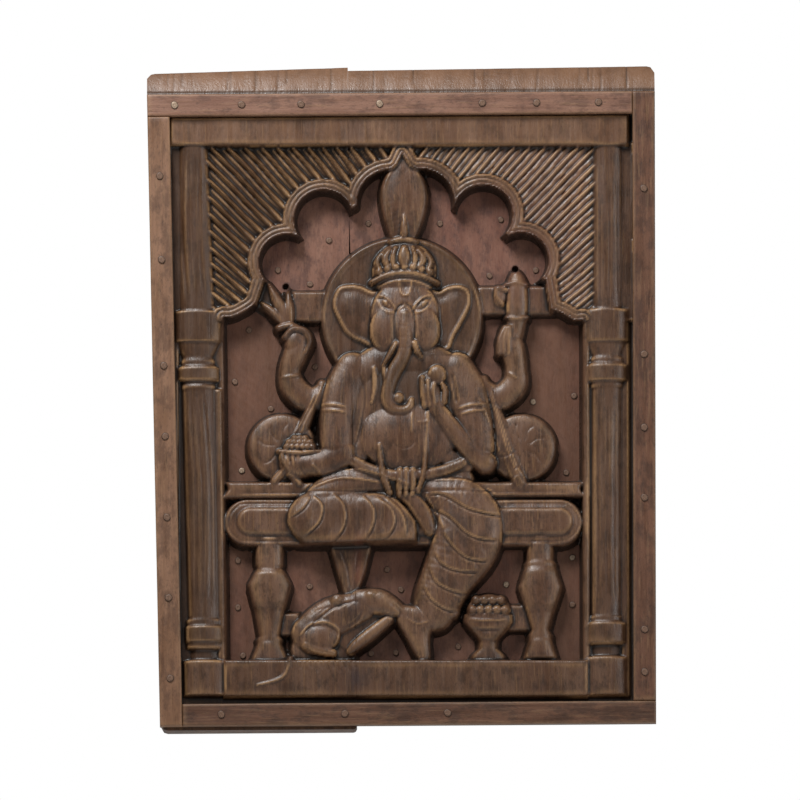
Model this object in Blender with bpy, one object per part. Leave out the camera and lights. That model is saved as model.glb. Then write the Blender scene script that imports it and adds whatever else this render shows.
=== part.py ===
"""A carved and pierced wooden wall panel: two thick boards carved with a seated elephant-headed figure
under a cusped arch, a backing board behind them, four battens nailed round the edge, and the nail heads.

The carving is a relief. Each form in it, such as a limb, a dome or a slab, is a small function that says how
far a point lies outside the form and how high the form stands there. The highest form wins, and where no
form stands the boards are sawn through. The forms are drawn in millimetres as seen from the front, from a
point near the middle of the panel, and the drawing is fitted into the field between the battens.
"""

import math

import bmesh
import bpy
import numpy as np
from mathutils import Vector
from mathutils.geometry import delaunay_2d_cdt

MM = 0.001

# Outline, in millimetres
PANEL_WIDTH = 501.0
PANEL_HEIGHT = 640.0
TAPER_LEFT = 10.0
TAPER_RIGHT = 4.5
TOP_BAND_LEFT = 25.0
TOP_BAND_RISE = 6.3
TOP_BAND_STEP = 4.0
TOP_BAND_RIGHT = 30.5
BOTTOM_LIP_LEFT = 3.0
BOTTOM_SHORT_RIGHT = 3.5
CORNER_RADIUS = 8.0

# Thicknesses, from the wall outwards
BACKING_THICKNESS = 12.0
BOARD_THICKNESS = 30.0
BED_HEIGHT = 22.0
GROOVE_HEIGHT = 15.0
BATTEN_THICKNESS = 10.0
TOP_EDGE_HEIGHT = 4.0

# Widths
BATTEN_WIDTH = 22.5
BATTEN_BEVEL = 1.2
BACKING_MARGIN = 12.0
JOINT_TOP = -53.0
JOINT_BOTTOM = -48.0
WALL_DRAFT = 4.0
SAWN_LAND = 1.0
UNDERCUT = 2.0
GAP = 0.3

# Nails
BATTEN_NAIL_RADIUS = 3.8
BACKING_NAIL_RADIUS = 3.2
NAIL_HEIGHT = 0.9
NAIL_SIDES = 6
DRILL_RADIUS = 2.7

# The drawing: the size of its field, the height of its middle, its deepest form and its small turn
DRAWN_WIDTH = 456.0
DRAWN_HEIGHT = 588.0
DRAWN_MIDDLE = -13.1
DRAWN_DEPTH = 30.0
DRAWN_TURN = math.radians(0.4)
BACKING_DROP = 3.3

# Fineness of the faceted relief, and the lines that its facets follow
CREST, FOOT = "crest", "foot"
TURNED_LINES = (-1.0, -0.62, 0.0, 0.62, 1.0)
FACET = 9.0
SLIM = 7.0
ARRIS = 1.2
FOOT_AWAY = 1.0
SAMPLE_STEP = 2.0
OUTLINE_ERROR = 0.45
FACE_ERROR = 0.8
NEAREST_POINT = 2.2
MERGE = 0.02
SLIVER = 0.01
FACE_SPACING = 9.6
INSERT_ROUNDS = 16

FIELD_WIDTH = PANEL_WIDTH - 2.0 * BATTEN_WIDTH
FIELD_HEIGHT = PANEL_HEIGHT - 2.0 * BATTEN_WIDTH
OVERALL_HEIGHT = PANEL_HEIGHT + TOP_BAND_RIGHT + BOTTOM_LIP_LEFT
BATTEN_TOP_EDGE = OVERALL_HEIGHT / 2.0 - TOP_BAND_RIGHT
BATTEN_BOTTOM_EDGE = BATTEN_TOP_EDGE - PANEL_HEIGHT
FIELD_MIDDLE = (BATTEN_TOP_EDGE + BATTEN_BOTTOM_EDGE) / 2.0
SCALE_X = FIELD_WIDTH / DRAWN_WIDTH
SCALE_Z = FIELD_HEIGHT / DRAWN_HEIGHT
BOARD_BACK = BACKING_THICKNESS + GAP
DEPTH_SCALE = BOARD_THICKNESS / DRAWN_DEPTH


def to_panel(u, v):
    """A point of the drawing, as (x, z) on the panel: turned level, then scaled to the field."""
    across = u * math.cos(DRAWN_TURN) + v * math.sin(DRAWN_TURN)
    up = v * math.cos(DRAWN_TURN) - u * math.sin(DRAWN_TURN)
    return across * SCALE_X, FIELD_MIDDLE + (up - DRAWN_MIDDLE) * SCALE_Z


def to_drawing(x, z):
    """The point of the drawing that lies at (x, z) on the panel."""
    across = x / SCALE_X
    up = (z - FIELD_MIDDLE) / SCALE_Z + DRAWN_MIDDLE
    u = across * math.cos(DRAWN_TURN) - up * math.sin(DRAWN_TURN)
    return u, up * math.cos(DRAWN_TURN) + across * math.sin(DRAWN_TURN)


# Forms of the relief


def curve_through(points, closed=False, steps=4):
    """A smooth (Catmull-Rom) curve through the points, whatever columns they have."""
    points = np.asarray(points, float)
    count = len(points)
    spans = count if closed else count - 1
    index = np.arange(-1, spans + 2)
    index = index % count if closed else np.clip(index, 0, count - 1)
    p = points[index]
    t = (np.arange(steps) / steps)[:, None]
    rows = []
    for k in range(spans):
        a, b, c, d = p[k], p[k + 1], p[k + 2], p[k + 3]
        rows.append(
            0.5 * (2 * b + (c - a) * t + (2 * a - 5 * b + 4 * c - d) * t**2 + (3 * b - a - 3 * c + d) * t**3)
        )
    if not closed:
        rows.append(points[-1:])
    return np.concatenate(rows)


def skirted(gap, face, edge):
    """The face inside the form's outline, and outside it the sawn wall, which falls to the boards' back."""
    return np.where(gap > 0.0, edge * (1.0 - gap / WALL_DRAFT), face)


def beside(path, aways):
    """The path carried sideways to its left by the given distances."""
    run = np.gradient(path[:, :2], axis=0)
    run /= np.maximum(np.hypot(run[:, 0], run[:, 1]), 1e-9)[:, None]
    return path[:, :2] + np.stack([-run[:, 1], run[:, 0]], axis=1) * np.asarray(aways)[:, None]


def limb(points, fall, steps=4):
    """A rounded form along a curve. Each point is (u, v, half width, crown height); its sides fall by fall."""
    path = curve_through(points, steps=steps)
    thin = path[:: max(1, steps // 2)]
    lines = [(CREST, path[:, :2] if steps < 4 else thin[:, :2])]
    if path[:, 2].max() > SLIM:
        half = thin[:, 2]
        lines += [(CREST, beside(thin, side * np.maximum(half - ARRIS, half / 2.0))) for side in (-1.0, 1.0)]
        lines += [(FOOT, beside(thin, side * (half + FOOT_AWAY))) for side in (-1.0, 1.0)]
    reach = path[:, 2].max() + WALL_DRAFT
    low, high = path[:, :2].min(0) - reach, path[:, :2].max(0) + reach

    def form(u, v):
        best = np.full(u.shape, 1e3)
        height = np.zeros(u.shape)
        for p, q in zip(path, path[1:]):
            run = q[:2] - p[:2]
            share = np.clip(((u - p[0]) * run[0] + (v - p[1]) * run[1]) / max(run @ run, 1e-9), 0.0, 1.0)
            away = np.hypot(u - p[0] - share * run[0], v - p[1] - share * run[1])
            half = np.maximum(p[2] + (q[2] - p[2]) * share, 0.3)
            crown = p[3] + (q[3] - p[3]) * share
            gap = away - half
            bulge = np.sqrt(np.clip(1.0 - (away / half) ** 2, 0.0, 1.0))
            here = skirted(gap, crown - fall * (1.0 - bulge), crown - fall)
            nearer = gap < best
            best = np.where(nearer, gap, best)
            height = np.where(nearer, here, height)
        return best, height

    return low, high, form, lines


def ring_line(u0, v0, half_u, half_v, turn=0.0):
    """A closed oval line, with points about as far apart as the facets are wide."""
    count = max(6, int(math.pi * (half_u + half_v) / FACET))
    angle = np.linspace(0.0, 2.0 * math.pi, count + 1)
    cos, sin = math.cos(math.radians(turn)), math.sin(math.radians(turn))
    along, aside = half_u * np.cos(angle), half_v * np.sin(angle)
    return np.stack([u0 + along * cos - aside * sin, v0 + along * sin + aside * cos], axis=1)


def dome(u0, v0, half_u, half_v, crown, fall, turn=0.0, power=0.5):
    """A swelling with an oval outline. A small power gives it a flat face and round sides."""
    reach = max(half_u, half_v) + WALL_DRAFT
    cos, sin = math.cos(math.radians(turn)), math.sin(math.radians(turn))

    def form(u, v):
        along = ((u - u0) * cos + (v - v0) * sin) / half_u
        aside = ((v - v0) * cos - (u - u0) * sin) / half_v
        share = np.maximum(np.hypot(along, aside), 1e-6)
        gap = np.hypot(u - u0, v - v0) * (1.0 - 1.0 / share)
        bulge = np.clip(1.0 - share**2, 0.0, 1.0) ** power
        return gap, skirted(gap, crown - fall * (1.0 - bulge), crown - fall)

    lines = []
    if min(half_u, half_v) > SLIM:
        lines = [(CREST, ring_line(u0, v0, half_u - ARRIS, half_v - ARRIS, turn)),
                 (FOOT, ring_line(u0, v0, half_u + FOOT_AWAY, half_v + FOOT_AWAY, turn))]
    return np.array([u0 - reach, v0 - reach]), np.array([u0 + reach, v0 + reach]), form, lines


def outside_polygon(u, v, corners):
    """How far each point lies outside the polygon, or inside it as a negative distance."""
    away = np.full(u.shape, 1e6)
    inside = np.zeros(u.shape, bool)
    for p, q in zip(corners, np.roll(corners, -1, axis=0)):
        run = q - p
        share = np.clip(((u - p[0]) * run[0] + (v - p[1]) * run[1]) / max(run @ run, 1e-9), 0.0, 1.0)
        away = np.minimum(away, np.hypot(u - p[0] - share * run[0], v - p[1] - share * run[1]))
        if p[1] != q[1]:
            crosses = (p[1] > v) != (q[1] > v)
            inside ^= crosses & (u < p[0] + (v - p[1]) * run[0] / (q[1] - p[1]))
    return np.where(inside, -away, away)


def grown(corners, away):
    """The closed polygon with each corner carried outwards, so that its sides lie about away further out."""
    ahead, behind = np.roll(corners, -1, axis=0) - corners, corners - np.roll(corners, 1, axis=0)
    ahead = ahead / np.maximum(np.hypot(*ahead.T), 1e-9)[:, None]
    behind = behind / np.maximum(np.hypot(*behind.T), 1e-9)[:, None]
    turn = np.sign((corners[:, 0] * np.roll(corners[:, 1], -1) - np.roll(corners[:, 0], -1) * corners[:, 1]).sum())
    normal = np.stack([ahead[:, 1] + behind[:, 1], -ahead[:, 0] - behind[:, 0]], axis=1) * turn
    length = np.maximum((normal**2).sum(axis=1) / 2.0, 0.5)
    line = corners + normal * (away / length)[:, None]
    return np.concatenate([line, line[:1]])


def slab(corners, level, soft=2.0):
    """A flat-faced form with the given outline, its arris rounded over a width of soft."""
    corners = np.asarray(corners, float)
    lines = [(CREST, grown(corners, -soft)), (FOOT, grown(corners, FOOT_AWAY))]
    low, high = corners.min(0) - WALL_DRAFT, corners.max(0) + WALL_DRAFT

    def form(u, v):
        gap = outside_polygon(u, v, corners)
        into = np.clip(1.0 + gap / soft, 0.0, 1.0)
        return gap, skirted(gap, level - soft * (1.0 - np.sqrt(1.0 - into**2)), level - soft)

    return low, high, form, lines


def box_slab(left, right, bottom, top, level, soft=2.0):
    return slab([(left, bottom), (right, bottom), (right, top), (left, top)], level, soft)


def turned(foot, head, profile, fall):
    """Half of a turned post on the line from foot to head. The profile is rows of (v, half width, crown)."""
    profile = np.array(sorted(profile))
    widest = profile[:, 1].max() + WALL_DRAFT + abs(head[0] - foot[0])
    low = np.array([min(foot[0], head[0]) - widest, profile[0, 0] - WALL_DRAFT])
    high = np.array([max(foot[0], head[0]) + widest, profile[-1, 0] + WALL_DRAFT])

    def form(u, v):
        axis = foot[0] + (head[0] - foot[0]) * (v - foot[1]) / (head[1] - foot[1])
        half = np.interp(v, profile[:, 0], profile[:, 1])
        crown = np.interp(v, profile[:, 0], profile[:, 2])
        away = np.abs(u - axis)
        gap = np.maximum(away - half, np.maximum(profile[0, 0] - v, v - profile[-1, 0]))
        bulge = np.sqrt(np.clip(1.0 - (away / half) ** 2, 0.0, 1.0))
        return gap, skirted(gap, crown - fall * (1.0 - bulge), crown - fall)

    axis = foot[0] + (head[0] - foot[0]) * (profile[:, 0] - foot[1]) / (head[1] - foot[1])
    lines = []
    for share in TURNED_LINES:
        lines.append((CREST, np.stack([axis + share * (profile[:, 1] - 0.2), profile[:, 0]], axis=1)))
    for side in (-1.0, 1.0):
        lines.append((FOOT, np.stack([axis + side * (profile[:, 1] + FOOT_AWAY), profile[:, 0]], axis=1)))
    for middle, (v, half, _) in zip(axis, profile):
        lines.append((CREST, np.array([(middle + share * (half - 0.2), v) for share in TURNED_LINES])))
    return low, high, form, lines


# The frame of the relief: floor, lintel, base, pillars and spandrel

OPENING = np.array([(-180.0, 80.0), (-176.0, -266.0), (180.0, -266.0), (180.0, 80.0),
                    (186.0, 80.0), (186.0, 250.0), (-195.0, 250.0), (-195.0, 80.0)])
ARCH_LOBES = ((-12.0, 194.0, 34.6), (17.0, 194.5, 34.7), (-79.5, 178.0, 30.0), (80.0, 183.0, 30.0),
              (-116.0, 135.0, 28.5), (118.0, 137.0, 28.0))
ARCH_SIDES = curve_through(
    [(-180, 80), (-170, 80.5), (-155, 88), (-147.5, 94)], steps=3)[:, :2]
ARCH_THROAT = (
    (-140, 117), (-112, 125), (-107.5, 160), (-47, 191.5), (-16, 226), (-7, 232), (-1, 245), (7, 232), (18, 227),
    (51, 192), (105, 162.5), (120, 125), (143, 117))
ARCH_SIDES_RIGHT = curve_through(
    [(148, 88), (159, 84), (171, 77), (180, 77.5)], steps=3)[:, :2]
SPANDREL_FLOOR = 16.0
SPANDREL_RIDGE = 4.0
MOULDING_WIDTH = 9.0
MOULDING_HEIGHT = 22.5
FILLET_DEPTH = 1.8
FAN_POINT = (430.0, -400.0)
FAN_START = math.radians(38.28)
FAN_STEP = math.radians(0.8)
FAN_HALF_TURNS = 46
FAN_REACH = 900.0
HATCH_END = 197.0
PILLAR_HEAD = 252.0
PILLAR_FOOT = -300.0
FILLET_LEVEL = 18.5
LINTEL = (-233.0, 225.0, PILLAR_HEAD, 283.0)
BASE = (-178.0, 184.0, PILLAR_FOOT, -264.0)


def arch_outline():
    """The edge of the arched field below its lobes, from the left shoulder round to the right one."""
    return np.concatenate([ARCH_SIDES, ARCH_THROAT, ARCH_SIDES_RIGHT, [(180.0, -266.0), (-176.0, -266.0)]])


ARCH_EDGE = arch_outline()


def outside_arch(u, v):
    """How far each point lies outside the arched field: the nearest of its lobes and its body."""
    gap = outside_polygon(u, v, ARCH_EDGE)
    for centre_u, centre_v, radius in ARCH_LOBES:
        gap = np.minimum(gap, np.hypot(u - centre_u, v - centre_v) - radius)
    return gap


def fan_turns(u, v):
    """The place of a point in the fan of ridges, in ridges: whole numbers are crests."""
    angle = np.arctan2(v - FAN_POINT[1], FAN_POINT[0] + np.abs(u))
    return (angle - FAN_START) / FAN_STEP


def spandrel():
    """The fan-carved ground above the arch, with the two-filleted moulding along the arch's edge."""
    low, high = np.array([-236.0, 74.0]), np.array([232.0, 256.0])

    def form(u, v):
        into = outside_arch(u, v)
        gap = np.maximum(-into, np.maximum(77.0 - v, np.maximum(-234.0 - u, u - 230.0)))
        ground = SPANDREL_FLOOR + SPANDREL_RIDGE * np.abs(2.0 * (fan_turns(u, v) % 1.0) - 1.0)
        ground = np.where(np.abs(u) < HATCH_END, ground, FILLET_LEVEL)
        share = into / MOULDING_WIDTH
        moulding = MOULDING_HEIGHT - FILLET_DEPTH * np.sin(math.pi * np.clip(share, 0, 1) * 2.0) ** 2
        end = np.clip((share - 1.0) * 3.0, 0.0, 1.0)
        face = moulding + (np.minimum(ground, MOULDING_HEIGHT) - moulding) * end
        return gap, skirted(gap, face, MOULDING_HEIGHT)

    return low, high, form, spandrel_lines()


def spandrel_lines():
    """The crests and hollows of the fan, and the lines of the moulding."""
    lines = []
    away = np.arange(0.0, FAN_REACH, 2.0)
    for half_turn in range(FAN_HALF_TURNS):
        angle = FAN_START + FAN_STEP * half_turn / 2.0
        for side in (-1.0, 1.0):
            u = side * (away * math.cos(angle) - FAN_POINT[0])
            v = FAN_POINT[1] + away * math.sin(angle)
            seen = (u * side > 2.0) & (u > -193.0) & (u < 189.0) & (v > 84.0) & (v < 250.5)
            seen &= outside_arch(u, v) > MOULDING_WIDTH + 3.5
            if seen.sum() > 3:
                first, last = np.nonzero(seen)[0][[0, -1]]
                lines.append((CREST, np.array([(u[first], v[first]), (u[last], v[last])])))
    us, vs = np.arange(-200.0, 200.0, 2.0), np.arange(70.0, 256.0, 2.0)
    into = outside_arch(*np.meshgrid(us, vs, indexing="ij"))
    for level in (MOULDING_WIDTH / 2.0, MOULDING_WIDTH, MOULDING_WIDTH + 3.0):
        for loop in contour_loops(np.pad(into, 1, constant_values=-1.0), np.pad(us, 1, "edge"),
                                  np.pad(vs, 1, "edge"), level):
            seen = (loop[:, 0] > -192.0) & (loop[:, 0] < 188.0) & (loop[:, 1] > 80.0) & (loop[:, 1] < 251.0)
            start = int(np.argmin(seen))
            loop, seen = np.roll(loop, -start, axis=0), np.roll(seen, -start)
            for run in np.split(np.arange(len(loop)), np.nonzero(np.diff(seen.astype(int)))[0] + 1):
                if seen[run[0]] and len(run) > 3:
                    lines.append((CREST, thinned_line(loop[run], OUTLINE_ERROR)))
    return lines


def floor():
    """The sunk floor round the opening, on which the pillars, lintel and base stand."""
    low, high = np.array([-300.0, -360.0]), np.array([300.0, 360.0])

    def form(u, v):
        gap = -outside_polygon(u, v, OPENING)
        return gap, skirted(gap, np.full(u.shape, GROOVE_HEIGHT), GROOVE_HEIGHT)

    return low, high, form, []


def rings(*rows):
    """A turned profile from rows of (upper edge, lower edge, half width above, half width below, crown)."""
    profile = []
    for top, bottom, half_top, half_bottom, crown in rows:
        profile += [(top - 0.4, half_top, crown), (bottom + 0.4, half_bottom, crown)]
    return profile


def pillar_left():
    return turned((-196.5, -290.0), (-210.0, 248.0), rings(
        (254, 86, 14.5, 18, 24), (86, 55, 23.5, 23.5, 25), (54, 39, 22, 15.5, 23), (36, 31, 17, 17, 24),
        (29, 16, 20.5, 20.5, 26), (15, 12, 17, 17, 23), (11, 8, 17, 17, 24), (7, -222, 16.5, 15.5, 23.5),
        (-223, -229, 17.5, 17.5, 24), (-230, -245, 18.5, 18.5, 26), (-246, -252, 18, 18, 24),
        (-253, -263, 15.5, 16.5, 20), (-264, -300, 21.5, 21.5, 25)), 9.0)


def pillar_right():
    return turned((203.0, -290.0), (205.0, 248.0), rings(
        (254, 88, 15, 15, 24), (88, 56, 22, 22, 25), (55, 41, 21, 15.5, 23), (39, 34, 17, 17, 24),
        (32, 16, 20, 20, 26), (15, 10, 17, 17, 24), (9, -219, 15.5, 15.5, 23.5), (-219, -225, 16.5, 16.5, 24),
        (-226, -247, 19, 19, 26), (-248, -259, 16, 16.5, 20), (-260, -300, 21, 21, 25)), 9.0)


# The figure and what stands round it


def halo():
    """A flat disc behind the head, with a raised rim."""
    centre, radius, rim = (-1.0, 81.0), 80.0, 5.0
    low, high, _, lines = dome(*centre, radius, radius, 14.0, 2.0)
    lines.append((CREST, ring_line(*centre, radius - rim, radius - rim)))

    def form(u, v):
        gap = np.hypot(u - centre[0], v - centre[1]) - radius
        face = 12.5 + 2.5 * np.clip(1.0 - np.abs(gap + rim / 2.0) / (rim / 2.0), 0.0, 1.0)
        return gap, skirted(gap, face, 12.5)

    return low, high, form, lines


def ear(points, rim_end):
    """A fan-shaped ear, dished inside a raised rim that ends where the ear meets the head."""
    corners = curve_through(points, closed=True, steps=3)
    low, high = corners.min(0) - WALL_DRAFT, corners.max(0) + WALL_DRAFT

    def form(u, v):
        gap = outside_polygon(u, v, corners)
        rim = np.clip(1.0 + gap / 5.0, 0.0, 1.0) * np.clip(np.abs(u - rim_end) / 20.0, 0.0, 1.0)
        face = 16.0 + 2.6 * np.sin(math.pi * rim)
        return gap, skirted(gap, face, 16.0)

    lines = [(CREST, grown(corners, -2.5)[::2]), (CREST, grown(corners, -5.0)[::2]),
             (FOOT, grown(corners, FOOT_AWAY)[::2])]
    return low, high, form, lines


def head_forms():
    """The head with its crown, finial, ears, trunk and tusks, on the halo."""
    yield halo()
    yield ear([(-18, 106), (-30, 106), (-44, 112), (-60, 112), (-67, 106), (-70, 93), (-65, 79), (-56, 64),
               (-42, 56), (-22, 52)], -18.0)
    yield ear([(22, 106), (35, 106), (45, 111), (58, 112), (66, 106), (67, 93), (61, 79), (51, 61),
               (44, 47), (22, 50)], 22.0)
    yield limb([(0, 162, 12, 17), (1, 183, 20, 19), (1, 205, 23, 20), (0, 226, 13, 19), (0, 245, 1, 17)], 5.0)
    yield limb([(-12, 156, 2.5, 20), (0, 159, 3.5, 21), (13, 156, 2.5, 20)], 3.0)
    yield dome(1.5, 126, 32, 30, 25, 9, power=0.6)
    yield limb([(-32, 114, 3.2, 24), (-18, 121, 3.5, 26.5), (2, 124, 3.5, 27.5), (20, 121, 3.5, 26.5),
                (35, 114, 3.2, 24)], 3.0)
    yield dome(2, 80, 33.5, 37, 26, 8, power=0.55)
    yield dome(-17, 68, 14, 15, 27, 5)
    yield dome(21, 68, 14, 15, 27, 5)
    yield limb([(-8, 50, 3.2, 29), (-13, 40, 2.6, 30), (-19, 31, 1.2, 30)], 3.0)
    yield limb([(11, 50, 3.2, 29), (15, 44, 2.6, 30), (18, 38, 1.2, 30)], 3.0)
    yield limb([(1, 92, 10, 28), (1, 76, 9, 29.5), (1, 61, 8, 30), (0, 46, 8, 30), (-2, 34, 8, 30),
                (-6, 18, 8.5, 30), (-13, 4, 8.5, 30), (-14, -9, 8, 30), (-8, -17, 7.2, 30),
                (3, -15, 6, 30), (7, -8, 4.5, 29.5)], 7.0)
    yield dome(-4, -3, 5.6, 5.6, 29, 4)


def crown_leaves():
    """The raised leaves and the row of beads on the crown."""
    yield limb([(1, 124, 5, 27), (1, 137, 5.5, 27), (1, 150, 1.5, 25)], 3.0)
    for side in (-1.0, 1.0):
        yield limb([(1 + side * 9, 126, 3, 26), (1 + side * 13, 138, 4, 25.5), (1 + side * 8, 149, 1.5, 24)], 3.0)
        yield limb([(1 + side * 19, 124, 3, 25), (1 + side * 23, 134, 3.5, 23.5), (1 + side * 18, 144, 1.5, 22)],
                   3.0)


def torso_forms():
    """Shoulders, chest, belly and waist, with the sash and its pleats."""
    yield limb([(-48, 18, 18, 23), (-20, 34, 20, 24), (2, 36, 20, 25), (26, 34, 20, 24), (56, 18, 18, 23)], 9.0)
    yield dome(2, 2, 55, 42, 25, 7, power=0.6)
    yield dome(5, -40, 48.5, 37, 30, 10, power=0.6)
    yield limb([(-58, -84, 15, 20), (0, -88, 19, 22), (56, -82, 15, 20)], 6.0)
    yield limb([(-62, -61, 5, 24), (-40, -70, 5.5, 26), (-14, -79, 5.5, 28), (14, -79, 5.5, 28),
                (38, -75, 5.5, 26), (60, -66, 5, 24)], 4.0)
    for place in (-2.0, 4.0, 10.0):
        yield limb([(place, -75, 3.2, 29.5), (place, -88, 3.4, 29), (place - 0.5, -99, 2.5, 27)], 3.0)
    yield limb([(-24, -50, 1.8, 30), (-20, -75, 2, 31), (-13, -97, 2, 28)], 1.8)
    yield limb([(25, -17, 1.6, 28), (23, -45, 1.8, 30), (21, -75, 2, 31), (17, -95, 2, 28)], 1.8)


def arm_forms():
    """The four arms, with what their hands hold."""
    yield limb([(-70, 8, 12, 17), (-92, -2, 12.5, 18), (-109, 10, 12.5, 19), (-113, 27, 10.5, 19),
                (-107, 45, 11.5, 20), (-101, 59, 8, 19)], 7.0)
    yield dome(-108, 56, 9, 12, 20, 5, turn=-25)
    yield limb([(74, 10, 12, 17), (94, 0, 12.5, 18), (111, 12, 12.5, 19), (113, 30, 10.5, 19),
                (109, 50, 12, 20), (105, 66, 8, 19)], 7.0)
    for tip_u, tip_v, half in ((-142, 96, 4.5), (-134, 114, 5.5), (-115, 108, 4.5)):
        yield limb([(-112, 68, 2.5, 15), ((tip_u - 112) / 2, (tip_v + 70) / 2, half, 17),
                    (tip_u, tip_v, 1, 14)], 4.0)
    yield limb([(112, 64, 8.5, 18), (114, 88, 10.5, 18.5), (114, 112, 9.5, 18), (113, 123, 5, 16)], 6.0)
    yield dome(97, 101.5, 6.5, 10, 15, 4)
    yield limb([(-50, 28, 17, 24), (-60, 5, 18.5, 26), (-66, -25, 17, 27), (-66, -50, 16, 28)], 9.0)
    yield limb([(-62, -57, 15, 28), (-82, -67, 12.5, 28), (-103, -68, 11, 27)], 8.0)
    yield dome(-103, -66, 20.5, 15.5, 25, 6, power=0.45)
    yield limb([(-122, -55, 2, 26), (-103, -57, 2.4, 27.5), (-84, -55, 2, 26)], 2.5)
    yield dome(-103, -50, 15.5, 9.5, 26, 5)
    yield limb([(54, 28, 17, 24), (64, 5, 19, 26), (71, -25, 18, 27), (76, -50, 15, 28)], 9.0)
    yield limb([(82, -66, 11, 28), (64, -50, 10, 29), (46, -29, 8.8, 30), (33, -12, 8.5, 30),
                (28, 5, 10.5, 30), (26, 20, 9.5, 29)], 7.0)
    yield dome(34, 21, 9, 9.5, 30, 4)


def seat_forms():
    """The bench with its two turned legs, and the two bolsters on it."""
    yield dome(-121, -50, 33.5, 33.5, 17.5, 5, power=0.35)
    yield dome(119, -50, 33.5, 33.5, 17.5, 5, power=0.35)
    yield slab([(-180, -101), (180, -99), (177, -92), (179, -85), (-176, -85), (-174, -92)], 18.0, 3.0)
    yield stadium(-178.0, 179.0, -148.0, -102.0, 16.5, 3.0)
    yield stadium(-166.0, 170.0, -138.5, -110.0, 20.0, 5.0)
    yield turned((-133, -265), (-133, -140), rings(
        (-140, -168, 13.5, 13.5, 18), (-170, -172, 12, 13, 18), (-176, -187, 16, 21, 21), (-188, -205, 21, 17, 21),
        (-212, -239, 14.5, 10, 19), (-241, -244, 12.5, 12.5, 19), (-246, -265, 12, 19, 20)), 8.0)
    yield turned((137, -265), (137, -140), rings(
        (-138, -163, 13, 13, 18), (-165, -169, 15, 15, 19), (-174, -190, 17, 21.5, 21), (-192, -208, 21, 16, 21),
        (-214, -233, 13.5, 9, 19), (-237, -241, 11.5, 11.5, 19), (-243, -262, 11.5, 17, 20)), 8.0)


def stadium(left, right, bottom, top, level, soft):
    """A bar with half-round ends."""
    half, middle = (top - bottom) / 2.0, (top + bottom) / 2.0
    low = np.array([left, bottom]) - WALL_DRAFT
    high = np.array([right, top]) + WALL_DRAFT

    def form(u, v):
        gap = np.hypot(u - np.clip(u, left + half, right - half), v - middle) - half
        into = np.clip(1.0 + gap / soft, 0.0, 1.0)
        return gap, skirted(gap, level - soft * (1.0 - np.sqrt(1.0 - into**2)), level - soft)

    def line(radius):
        turn = np.linspace(-math.pi / 2.0, math.pi / 2.0, 7)
        end = np.stack([right - half + radius * np.cos(turn), middle + radius * np.sin(turn)], axis=1)
        back = np.stack([left + half - radius * np.cos(turn), middle - radius * np.sin(turn)], axis=1)
        return np.concatenate([end, back, end[:1]])

    return low, high, form, [(CREST, line(half - soft)), (FOOT, line(half + FOOT_AWAY))]


def folded_leg_forms():
    """The leg folded on the bench, viewer's left, and the cloth that hangs below it."""
    yield slab([(-73, -148), (-31, -148), (-38, -176), (-47, -200), (-58, -200)], 13.0, 3.0)
    yield limb([(-6, -84, 13, 23), (-40, -86, 17, 26), (-70, -100, 24, 29), (-86, -124, 27, 30)], 9.0)
    yield limb([(-86, -124, 27.5, 30), (-55, -124, 28, 30), (-20, -124, 26, 29), (5, -128, 21, 26)], 9.0)
    yield limb([(2, -104, 9, 26), (18, -120, 9.5, 26), (27, -134, 7, 24)], 6.0)


def hanging_leg_forms():
    """The leg that hangs to the ground, viewer's right, in a wrapped cloth, and its foot."""
    yield limb([(24, -92, 14, 24), (52, -102, 22, 28), (66, -122, 31, 30), (63, -147, 33, 30), (47, -176, 27, 27),
                (36, -199, 24, 24), (31, -214, 20, 22)], 10.0)
    yield limb([(34, -222, 9, 20), (50, -222, 11, 20)], 5.0)
    yield limb([(24, -214, 14, 19), (17, -230, 13, 20), (20, -246, 9, 19), (24, -262, 4, 17)], 6.0)


def animal_forms():
    """The small animal that lies by the foot, with its tail along the base."""
    yield limb([(-92, -252, 19, 15), (-60, -256, 13, 14)], 3.0)
    yield limb([(-92, -236, 19, 20), (-70, -220, 20, 22), (-42, -210, 15, 22)], 8.0)
    yield dome(-83, -241, 21, 16, 23, 7, turn=20)
    yield limb([(-42, -204, 12, 22), (-24, -205, 12.5, 24), (-8, -212, 8.5, 23), (-1, -216, 4.5, 21)], 7.0)
    yield dome(-31, -199, 6.5, 5.5, 24.5, 3)
    yield limb([(-14, -222, 5, 20), (-31, -236, 6, 21), (-46, -248, 5.5, 21), (-52, -254, 4, 20)], 4.0)
    yield slab([(-72, -240), (-56, -254), (-14, -222), (-30, -208)], 15.0)
    yield limb([(-112, -262, 2, 26), (-120, -281, 1.8, 26.5), (-145, -289, 1.2, 26)], 1.6)


def bowl_forms():
    """The footed bowl of sweets beside the leg."""
    yield turned((85, -262), (85, -216), rings(
        (-216, -222, 23.5, 24, 21), (-224, -231, 24, 20, 21), (-234, -241, 17, 11, 19),
        (-243, -251, 9.5, 9.5, 17), (-254, -258, 14, 16, 17), (-258, -264, 16.5, 16.5, 17)), 8.0)
    yield dome(85, -212, 21, 15, 18, 4)
    for row, place_v in enumerate((-203.0, -213.0)):
        for k in range(4 + row):
            yield dome(85 - 12 - 4 * row + 8.2 * k, place_v, 4.6, 4.8, 21 + row, 4)


def strut_forms():
    """The plain bridges left between the forms, which hold the pierced carving together."""
    yield box_slab(-110, -78, 77, 107, 11.0)
    yield box_slab(76, 150, 84, 112, 11.0)
    yield slab([(-152, 96), (-133, 84), (-125, 105), (-142, 122)], 9.0)
    yield box_slab(-122, -104, -237, -215, 10.0)
    yield box_slab(100, 128, -232, -207, 10.0)


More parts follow.
